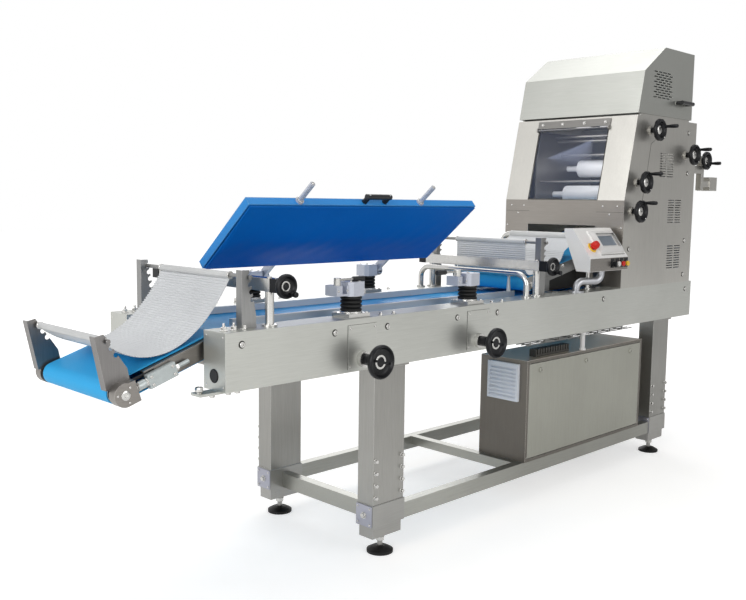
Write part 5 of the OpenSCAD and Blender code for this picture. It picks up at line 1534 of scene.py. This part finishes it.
@dataclass
class WireMat:
    """A woven wire mat that hangs along a path between two rods.

    path is in X and Z, half is half its width, rods are X, Z and radius, flat is its size before it is hung, in
    metres, and is not used, pitch and wave are those of its ribs, and across is the number of cells over its width.
    """

    node: str
    path: list[Pair]
    half: float
    rods: tuple[tuple[float, float, float], ...]
    flat: Pair
    pitch: float = 9.6
    wave: float = 1.1
    tooth: float = 1.8
    thick: float = 1.4
    across: int = 36

    def build(self) -> None:
        """Builds the mat, its sleeves and their clamps."""
        mat = Bench.deliver(self._cloth(), "frame", WIRE, (self.node,), 70)
        length = 2 * self.half
        sleeves = []
        for x, z, r in self.rods:
            sleeve = Bench.turned("sleeve", [(r, 0), (r + 3.4, 0), (r + 4, 0.8), (r + 4, length - 0.8),
                                             (r + 3.4, length), (r, length), (r, 0)], 28)
            sleeves.append(Bench.moved(sleeve, Side.BACK.at(x, -self.half, z)))
        sleeve = Bench.deliver(Bench.joined(self.node + ".sleeves", sleeves), "frame", WIRE_PLAIN)
        clamps = [Side.BACK.at(x, s * self.half - 3, z) for x, z, _ in self.rods for s in (-1, 1)]
        bore = self.rods[0][2]
        Bench.set_out(Hardware.ring(bore, bore + 5.6, 6), self.node + ".clamps", clamps, BRIGHT)

    def _steps(self) -> list[tuple[float, float, float]]:
        """Points along the path at even steps: X, Z and the length so far.

        Returns:
            The points.
        """
        steps, run, step = [], 0.0, self.pitch / 6
        for a, b in zip(self.path, self.path[1:]):
            gap = math.dist(a, b)
            while len(steps) * step <= run + gap:
                t = (len(steps) * step - run) / gap
                steps.append((a[0] + (b[0] - a[0]) * t, a[1] + (b[1] - a[1]) * t, len(steps) * step))
            run += gap
        return steps

    def _cloth(self) -> Piece:
        """The mat with its cross ribs and toothed sides.

        Returns:
            The mat, in the table's frame.
        """
        steps = self._steps()
        last = len(steps) - 1
        Bench.clear()
        bpy.ops.mesh.primitive_grid_add(x_subdivisions=last, y_subdivisions=self.across, size=2)
        cloth = Bench.made(self.node + ".cloth")
        mapped = cloth.data.uv_layers.active.data
        spots = cloth.data.vertices
        for loop in cloth.data.loops:
            co = spots[loop.vertex_index].co
            mapped[loop.index].uv = (round((co.x + 1) / 2 * last) * self.pitch / 6000, co.y * self.half / 1000)
        for spot in spots:
            i = round((spot.co.x + 1) / 2 * last)
            a, b = steps[max(i - 1, 0)], steps[min(i + 1, last)]
            way = Vector((b[0] - a[0], b[1] - a[1])).normalized()
            lift = self.wave * math.cos(steps[i][2] / self.pitch * math.tau)
            tooth = (self.tooth if lift > 0 else -self.tooth) if abs(spot.co.y) > 0.99 else 0.0
            y = spot.co.y * self.half + math.copysign(1.0, spot.co.y) * tooth
            spot.co = (steps[i][0] - way.y * lift, y, steps[i][1] + way.x * lift)
        return Bench.worked(cloth, "SOLIDIFY", thickness=self.thick, offset=0)


@dataclass
class Mats:
    """The outfeed mat and the infeed mat that curls the dough, with X, Z and radius of each rod."""

    outfeed_rods: tuple[Point, Point] = ((-1855.02, 894.17, 7.3), (-1406.75, 1063.0, 7.3))
    outfeed_length: float = 556.0
    below_rod: float = 8.3
    curl_rods: tuple[Point, Point] = ((211.0, 1133.0, 7.3), (640.0, 1150.0, 12.8))

    def build(self) -> None:
        """Builds both mats."""
        ends = [(x, z - self.below_rod) for x, z, _ in self.outfeed_rods]
        WireMat("outfeed_mat", self._hanging(*ends, self.outfeed_length), half=205.0, rods=self.outfeed_rods,
                flat=(0.41, 0.58)).build()
        WireMat("curl_mat", self._curl(), half=199.0, rods=self.curl_rods, flat=(0.398, 0.55)).build()

    @staticmethod
    def _hanging(a: Pair, b: Pair, length: float) -> list[Pair]:
        """A chain line of a given length between two points.

        Args:
            a: Its left end, as X and Z.
            b: Its right end.
            length: Its length.

        Returns:
            Points along it.
        """
        wide, rise = b[0] - a[0], b[1] - a[1]
        want = math.sqrt(length ** 2 - rise ** 2) / wide
        low, high = 1e-3, 20.0
        for _ in range(80):
            k = (low + high) / 2
            low, high = (k, high) if math.sinh(k) / k < want else (low, k)
        size = wide / (2 * k)
        middle = a[0] + wide / 2 - size * math.atanh(rise / length)
        base = a[1] - size * math.cosh((a[0] - middle) / size)
        xs = [a[0] + wide * i / 60 for i in range(61)]
        return [(x, base + size * math.cosh((x - middle) / size)) for x in xs]

    @staticmethod
    def _arc(middle: Vector, radius: float, start: float, sweep: float, steps: int) -> list[Vector]:
        """Points along an arc.

        Args:
            middle: Its middle, as X and Z.
            radius: Its radius.
            start: Where it starts, in degrees.
            sweep: How far it runs, in degrees.
            steps: The steps along it.

        Returns:
            The points.
        """
        angles = [math.radians(start + sweep * i / steps) for i in range(steps + 1)]
        return [middle + radius * Vector((math.cos(a), math.sin(a))) for a in angles]

    @staticmethod
    def _curl() -> list[Pair]:
        """The infeed mat's path: down behind its rod, along the belt and up to the guard.

        Returns:
            Points along it, as X and Z.
        """
        tilt = math.radians(11.5)
        along, up = Vector((math.cos(tilt), math.sin(tilt))), Vector((-math.sin(tilt), math.cos(tilt)))
        base = Vector((245.0, 942.0)) + 35.8 * up
        left = base + along * ((256.0 - base.x + 45 * math.sin(tilt)) / along.x) + 45 * up
        rise = base + 230 * along + 60 * up
        path = [Vector((211.0, 1123.7))]
        path += Mats._arc(Vector((256.0, left.y)), 45, 180, 101.5, 16)
        path += Mats._arc(rise, 60, 281.5, 46.5, 10)
        steep = math.radians(58)
        path.append(path[-1] + 40 * Vector((math.cos(steep), math.sin(steep))))
        path.append(Vector((640.0, 1150.0)) - 0.8 * Vector((13.8, 13.8)))
        return [(p.x, p.y) for p in path]


@dataclass
class Discharge:
    """Screws, nuts, wipers and caps of the discharge end, in its sloped frame."""

    block_face: float = 245.0
    block_screws: tuple[Pair, ...] = ((101.0, 10.0), (101.0, -16.0), (178.0, 10.0), (178.0, -16.0))
    rod: Pair = (232.0, -3.0)
    left_nuts: tuple[float, ...] = (89.0, 62.0, 50.0)
    right_nut: float = 189.0
    wiper: Pair = (219.2, 223.0)
    nose_face: float = 259.0
    nose_ring: float = 26.0

    def build(self) -> None:
        """Builds the details on both sides."""
        self._tensioners()
        self._wipers()
        self._nose()

    @staticmethod
    def _sides(u: float, y: float, w: float) -> list[Matrix]:
        """A place on the outer faces of both sides."""
        return [SLOPE @ Side.facing(s).at(u, s * y, w) for s in (-1, 1)]

    def _tensioners(self) -> None:
        """Cap screws on the tensioner blocks, and nuts and washers on their rods."""
        spots = [m for u, w in self.block_screws for m in self._sides(u, self.block_face, w)]
        Bench.set_out(Hardware.cap_screw(10), "tensioner_screws", spots, BRIGHT)
        y, z = self.rod
        nuts = [SLOPE @ Side.LEFT.at(u, s * y, z, 20) for u in self.left_nuts for s in (-1, 1)]
        nuts += [SLOPE @ Side.RIGHT.at(self.right_nut, s * y, z, 10) for s in (-1, 1)]
        Bench.set_out(Hardware.hex_head(22, 9, 28), "tensioner_nuts", nuts, BRIGHT)

    def _wipers(self) -> None:
        """Black wipers along the belt's edges, bent down at the nose."""
        plates = []
        for s in (-1, 1):
            low, high = sorted(s * y for y in self.wiper)
            plate = Bench.block("wiper", (42, low, 14), (128, high, 24))
            with Edit(plate) as edit:
                edit.faces(lambda c, n: n.x < -0.9).pull(-16, 0, -9)
            plates.append(Bench.moved(Bench.eased(plate, 0.8, 2), SLOPE))
        Bench.deliver(Bench.joined("wiper_plates", plates), "frame", BLACK)

    def _nose(self) -> None:
        """Caps on the nose blocks, with three small screws round each."""
        y, r = self.nose_face, self.nose_ring
        cap = Bench.turned("nose_cap", [(0, -1), (15, -1), (15, 1.6), (13.6, 2.6), (6, 2.8), (5, 1.2), (0, 1.2)], 32)
        Bench.set_out(cap, "nose_caps", self._sides(0, y, 0), BRIGHT)
        turns = [math.radians(a) for a in (40, 160, 280)]
        small = [m for a in turns for m in self._sides(r * math.cos(a), y, r * math.sin(a))]
        Bench.set_out(Hardware.cap_screw(7), "nose_screws", small, BRIGHT)


@dataclass
class Board:
    """The pressure board's sagging lining, knobs, stud rings and screws, in its raised frame."""

    low: Pair = (-1236.0, -181.0)
    high: Pair = (-14.0, 181.0)
    under: float = -20.0
    thick: float = 3.7
    lugs: Pair = (-950.0, -305.0)
    pin: Pair = (54.6, 290.5)
    lug_rows: Pair = (44.0, 51.0)
    stud_x: float = -58.0
    stud_ends: Pair = (-193.0, -283.0)
    handle: Pair = (-625.0, -227.0)

    def build(self) -> None:
        """Builds the board's pieces."""
        self._lining()
        self._knobs()
        self._screws()

    @staticmethod
    def _sag(u: float, v: float) -> float:
        """How far the lining hangs at a share of its length and width.

        Args:
            u: The share of the length.
            v: The share of the width.

        Returns:
            The depth in millimetres.
        """
        swing = math.sin(math.pi * v) ** 2 * (0.35 + 1.3 * v if v < 0.5 else 1.0)
        bulge = 0.55 + 0.45 * math.exp(-((u - 0.26) / 0.16) ** 2)
        ends = math.sin(math.pi * u) ** 0.3
        waves = 1 + 0.12 * math.sin(math.radians(540 * u + 90 * v))
        return 24 * swing * bulge * ends * waves

    def _lining(self) -> None:
        """The lining, fixed at its edges and hanging a little between them."""
        Bench.clear()
        bpy.ops.mesh.primitive_grid_add(x_subdivisions=150, y_subdivisions=46, size=2)
        lining = Bench.made("board_cover")
        for spot in lining.data.vertices:
            u, v = (spot.co.x + 1) / 2, (spot.co.y + 1) / 2
            x, y = (a + (b - a) * t for a, b, t in zip(self.low, self.high, (u, v)))
            hang = self._sag(min(max(u, 1e-6), 1 - 1e-6), v)
            ripple = 0.5 * math.sin(0.06 * x + 0.045 * y) * math.sin(math.pi * v)
            spot.co = (x, y, self.under - hang + ripple * min(hang / 4, 1))
        Bench.worked(lining, "SOLIDIFY", thickness=self.thick, offset=-1)
        with Edit(lining) as edit:
            edit.tidy()
        Bench.eased(lining, 1.0, 2, 60)
        lining = Bench.deliver(Bench.moved(lining, BOARD), "pressure_board", LINING, ("board_lining",), 60)

    def _knobs(self) -> None:
        """The black knobs on the hinge pins."""
        spots = [BOARD @ Side.RIGHT.at(x + self.pin[0], self.pin[1], 0) for x in self.lugs]
        Bench.set_out(Hardware.lobed_knob(23.6, 22.6, 9), "hinge_knobs", spots, BLACK, "pressure_board")

    def _screws(self) -> None:
        """Rivets of the hinge lugs, screws of the studs and the handle, and rings round the studs."""
        spots = [BOARD @ Side.UP.at(x + d, y, 16) for x in self.lugs for d in self.lug_rows for y in (150.0, 172.0)]
        Bench.set_out(Hardware.rivet(5), "lug_rivets", spots, BRIGHT, "pressure_board")
        foot, tip = self.stud_ends
        rings = [BOARD @ Side.FRONT.at(x + self.stud_x, foot, 0) for x in self.lugs]
        Bench.set_out(Hardware.ring(10.2, 14, 3), "stud_rings", rings, BRIGHT, "pressure_board")
        tips = [BOARD @ Side.FRONT.at(x + self.stud_x, tip, 0) for x in self.lugs]
        Bench.set_out(Hardware.cap_screw(12), "stud_screws", tips, BRIGHT, "pressure_board")
        tops = [BOARD @ Side.FRONT.at(self.handle[0] + d, self.handle[1], 0) for d in (-55, 55)]
        Bench.set_out(Hardware.cap_screw(9), "handle_screws", tops, BRIGHT, "pressure_board")


@dataclass
class Jacks:
    """Bellows, bands and screws of the four jacks."""

    xs: Pair = (-950.0, -305.0)
    y: float = 290.5
    low: float = 918.0
    high: float = 975.0
    folds: int = 4
    bore: float = 22.0
    valley: float = 32.5
    fold: float = 6.5
    base_top: float = 915.0
    head_top: float = 1025.0
    head_ring: float = 29.0
    fork: Point = (-67.0, -320.5, 996.0)

    def build(self) -> None:
        """Builds the jacks' pieces."""
        self._bellows()
        self._bands()
        self._screws()

    def _spots(self, z: float) -> list[Matrix]:
        """The four jacks at a height."""
        return [Side.UP.at(x, s * self.y, z) for x in self.xs for s in (-1, 1)]

    def _bellows(self) -> None:
        """Rubber bellows with full round folds."""
        tall = self.high - self.low
        pitch = tall / self.folds
        profile: list[Pair] = [(self.bore, 0)]
        for i in range(self.folds):
            profile += [(self.valley + self.fold * math.sin(math.pi * k / 8) ** 0.6, (i + k / 8) * pitch)
                        for k in range(8)]
        profile += [(self.valley, tall), (self.bore, tall), (self.bore, 0)]
        piece = Bench.copies(Bench.turned("bellows", profile, 48), "bellows", self._spots(self.low))
        Bench.deliver(piece, None, RUBBER, ("jack_bellows",), 50)
        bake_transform(piece)

    def _bands(self) -> None:
        """Bright bands that hold the bellows' ends."""
        Bench.set_out(Hardware.ring(33, 40.5, 3.5, 48), "lower_bands", self._spots(self.low - 1), BRIGHT)
        Bench.set_out(Hardware.ring(20, 36, 3.0, 48), "upper_bands", self._spots(self.high - 2.5), BRIGHT, "jack_lift")

    def _screws(self) -> None:
        """Screws of the bases, the heads and the forks."""
        base = [Side.UP.at(x + dx, s * self.y + dy, self.base_top)
                for x in self.xs for s in (-1, 1) for dx in (-42, 42) for dy in (-36, 36)]
        Bench.set_out(Hardware.cap_screw(10), "base_screws", base, BRIGHT)
        spread = [(0, 0)] + [(self.head_ring, a) for a in (0.785, 2.356, 3.927, 5.498)]
        heads = [Side.UP.at(x + d * math.cos(a), s * self.y + d * math.sin(a), self.head_top)
                 for x in self.xs for s in (-1, 1) for d, a in spread]
        Bench.set_out(Hardware.cap_screw(9), "head_screws", heads, BRIGHT, "jack_lift")
        left, y, z = self.fork
        side = [Side.FRONT.at(x + left + dx, y, z) for x in self.xs for dx in (-20, 20)]
        Bench.set_out(Hardware.cap_screw(8), "fork_screws", side, BRIGHT, "jack_lift")


@dataclass
class Bridges:
    """Screws of the bridges, their end blocks and columns, and rings under the guards."""

    xs: Pair = (-1323.0, 152.0)
    column: float = 303.0
    ring: float = 20.5
    foot: float = 906.0
    top: float = 1056.0
    end_y: float = 350.0
    guard: Point = (75.0, 306.5, 900.0)

    def build(self) -> None:
        """Builds the details."""
        tops = [Side.UP.at(x, s * self.column, self.top) for x in self.xs for s in (-1, 1)]
        Bench.set_out(Hardware.cap_screw(16), "bridge_screws", tops, BRIGHT)
        blocks = [Side.UP.at(x + dx, s * self.end_y, self.top) for x in self.xs for s in (-1, 1) for dx in (-12, 12)]
        Bench.set_out(Hardware.cap_screw(7), "end_block_screws", blocks, BRIGHT)
        feet = [Side.UP.at(x + self.ring * math.cos(a), s * self.column + self.ring * math.sin(a), self.foot)
                for x in self.xs for s in (-1, 1) for a in (0.5, 2.6, 4.7)]
        Bench.set_out(Hardware.cap_screw(5), "foot_screws", feet, BRIGHT)
        x, y, z = self.guard
        rings = [Side.UP.at(x, s * y, z) for s in (-1, 1)]
        Bench.set_out(Hardware.ring(12.7, 20, 6, 40), "guard_rings", rings, BRIGHT)


@dataclass
class Infeed:
    """Bolts along the infeed conveyor's side plates, and dark rubber sheets inside them, painted shade below it."""

    shade_sheet: tuple[Pair, ...] = ((262, 906), (756, 906), (757, 907), (757, 1031), (262, 931))
    shade_sheet_ys: Pair = (-210.0, 212.0)
    plate_y: float = 216.0
    bolts: tuple[Pair, ...] = ((-14.0, 8.0), (60.0, 24.0), (60.0, -6.0), (250.0, 24.0), (440.0, 24.0))

    def build(self) -> None:
        """Builds the details."""
        # Dark sheets in the gap under the infeed conveyor, where there is only shade: painted shade.
        shade_sheet = Bench.eased(Bench.plate("infeed_shade_sheet", self.shade_sheet, 2.0), 0.4, 1)
        Bench.set_out(shade_sheet, "infeed_shade_sheets", [Side.FRONT.at(0, y, 0) for y in self.shade_sheet_ys], RUBBER)
        spots = [INFEED @ Side.facing(s).at(u, s * self.plate_y, w) for s in (-1, 1) for u, w in self.bolts]
        Bench.set_out(Hardware.hex_head(12, 6, 18), "infeed_bolts", spots, BRIGHT)


@dataclass
class Head:
    """Seams, seal, rivets, screws and bolts of the sheeting head.

    Rivets are given as Y and Z, screws and the side seam as X and Z, and the seal's strips as left, right, low and
    high in the window's frame.
    """

    front: float = 790.0
    half: float = 350.0
    rivets: tuple[Pair, ...] = ((234.0, 1296.0), (313.0, 1297.0), (271.0, 1257.0), (338.0, 1192.0))
    screws: tuple[Pair, ...] = ((1417.0, 1682.0), (1424.0, 1473.0), (1424.0, 1120.0), (850.0, 1090.0), (1424.0, 940.0))
    side_seam: tuple[Pair, ...] = ((1068, 1628), (1025, 1606), (1000, 1484), (966, 1341), (958, 1290))
    front_seams: tuple[Pair, ...] = ((-349.0, -199.0), (199.0, 349.0))
    front_seam_z: Pair = (1267.0, 1268.2)
    strip_bolts: tuple[float, ...] = (-180.0, -60.0, 68.0, 188.0)
    strip_z: float = 395.0
    seal: tuple[tuple[float, float, float, float], ...] = (
        (-203.5, -200.0, 2.0, 376.0), (208.0, 211.5, 2.0, 376.0), (-203.5, 211.5, 0.0, 3.5))

    def build(self) -> None:
        """Builds the details."""
        self._rivets()
        self._screws()
        self._seams()
        self._window()

    def _rivets(self) -> None:
        """Rivets on the front plate."""
        spots = [Side.LEFT.at(self.front, s * y, z) for s in (-1, 1) for y, z in self.rivets]
        Bench.set_out(Hardware.rivet(9), "front_rivets", spots, BRIGHT)

    def _screws(self) -> None:
        """Large cap screws on both sides, in dark rings."""
        spots = [Side.facing(s).at(x, s * self.half, z) for x, z in self.screws for s in (-1, 1)]
        Bench.set_out(Hardware.cap_screw(19), "side_screws", spots, BRIGHT)
        Bench.set_out(Hardware.ring(9.7, 12.5, 0.7), "side_screw_rings", spots, GASKET)

    def _seams(self) -> None:
        """Thin seams between the plates."""
        seams = [Bench.tube("side_seam", [(x, -self.half - 0.1, z) for x, z in self.side_seam], 0.9, 1)]
        low, high = self.front_seam_z
        for left, right in self.front_seams:
            seam = Bench.block("front_seam", (self.front - 0.7, left, low), (self.front + 1, right, high))
            seams.append(Bench.eased(seam, 0.3, 1))
        Bench.deliver(Bench.joined("head_seams", seams), "frame", GASKET)

    def _window(self) -> None:
        """Bolts of the hinge strip, and a seal round the opening."""
        bolts = [LEAN @ Side.LEFT.at(-5, y, self.strip_z) for y in self.strip_bolts]
        Bench.set_out(Hardware.hex_head(11, 5, 17), "strip_bolts", bolts, BRIGHT)
        strips = []
        for left, right, low, high in self.seal:
            strip = Bench.eased(Bench.block("seal", (-1, left, low), (1, right, high)), 0.6, 1)
            strips.append(Bench.moved(strip, LEAN))
        Bench.deliver(Bench.joined("window_seal", strips), "frame", GASKET)


@dataclass
class Console:
    """The operator's panel: bezel, display, control plates and the stop's ring.

    Boxes are low and high corners in the panel's sloped frame.
    """

    bezel: tuple[Point, Point] = ((535.0, 25.0, 4.0), (743.0, 147.0, 7.0))
    display: tuple[Point, Point] = ((569.0, 63.0, 5.2), (709.0, 117.0, 6.6))
    strip: tuple[Point, Point] = ((536.0, 14.0, 0.0), (742.0, 19.0, 2.0))
    stop: Point = (493.0, 58.0, 0.0)
    buttons: tuple[float, ...] = (621.0, 661.0, 701.0, 741.0)
    face: float = -400.0
    row: float = 1029.0

    def build(self) -> None:
        """Builds the panel's pieces."""
        self._display()
        self._controls()

    def _display(self) -> None:
        """A white bezel with a sunk opening, the display in it and a bright strip below."""
        bezel = Bench.block("bezel", *self.bezel)
        with Edit(bezel) as edit:
            edit.faces(lambda c, n: n.z > 0.9).inset(4).shift(0, 0, 1.2)
            edit.faces(lambda c, n: n.z > 0.9 and c.z > 7).inset(26)
            edit.inset(1.5).shift(0, 4, -2.4)
        Bench.deliver(Bench.moved(Bench.eased(bezel, 0.8, 2), PANEL), "frame", WHITE)
        glass = Bench.block("display", *self.display)
        with Edit(glass) as edit:
            edit.faces(lambda c, n: n.z > 0.9).inset(2).shift(0, 0, -0.3)
        Bench.deliver(Bench.moved(glass, PANEL), "frame", SCREEN)
        strip = Bench.eased(Bench.block("panel_strip", *self.strip), 0.6, 2)
        Bench.deliver(Bench.moved(strip, PANEL), "frame", BRIGHT)

    def _controls(self) -> None:
        """Black plates behind the controls, collars round them and the stop's yellow ring."""
        outline = [(-15, -17), (15, -17), (16, -16), (16, 26), (15, 27), (-15, 27), (-16, 26), (-16, -16)]
        plate = Bench.eased(Bench.plate("control_plate", outline, 1.6), 0.5, 1)
        spots = [Side.FRONT.at(x, self.face, self.row) for x in self.buttons]
        Bench.set_out(plate, "control_plates", spots, BLACK)
        Bench.set_out(Hardware.ring(13.2, 15.6, 4.2, 40), "control_collars", spots, BLACK)
        ring = Bench.turned("stop_ring", [(16.5, 4.1), (23.2, 4.1), (23.2, 0.2), (25, 0.2), (25.6, 1), (24.4, 4),
                                          (22.5, 4.9), (16.5, 4.9), (16.5, 4.1)], 40)
        Bench.deliver(Bench.moved(ring, PANEL @ Matrix.Translation(self.stop)), "frame", YELLOW)


@dataclass
class Cabinet:
    """The switch cabinet's ribbed conduit and the slots of its door's locks."""

    conduit: Point = (490.0, -337.5, 0.0)
    conduit_ends: Pair = (630.3, 714.5)
    ribs: int = 25
    locks: tuple[float, ...] = (150.0, 520.5, 921.0)
    lock_z: float = 579.0
    door: float = -350.0

    def build(self) -> None:
        """Builds the details."""
        low, high = self.conduit_ends
        ribs = [(11 + 0.7 * (k % 2), 641 + k * 2.4) for k in range(self.ribs)]
        pipe = Bench.turned("conduit", [(10.1, low), (16, low), (16, 640), (11, 641)] + ribs
                            + [(11, 703), (16, 704), (16, high), (10.1, high), (10.1, low)], 32)
        Bench.deliver(Bench.moved(pipe, Matrix.Translation(self.conduit)), "frame", WHITE)
        slots = [Side.FRONT.at(x, self.door, self.lock_z, 90) for x in self.locks]
        key = Bench.eased(Bench.block("lock_slot", (-5, -1.2, -1), (5, 1.2, 0.6)), 0.4, 1)
        Bench.set_out(key, "lock_slots", slots, DARK, "cabinet_door")


ASSEMBLIES: tuple[type, ...] = (Mats, Board, Jacks, Wheels, Table, Discharge, Bridges, Infeed, Head, Console, Cabinet)


def main() -> None:
    """Builds the machine's pieces in order."""
    logging.basicConfig(level=logging.INFO, format="%(name)s %(message)s")
    Studio().build()
    NodeDress().apply()
    for assembly in ASSEMBLIES:
        assembly().build()


if __name__ == "__main__":
    main()
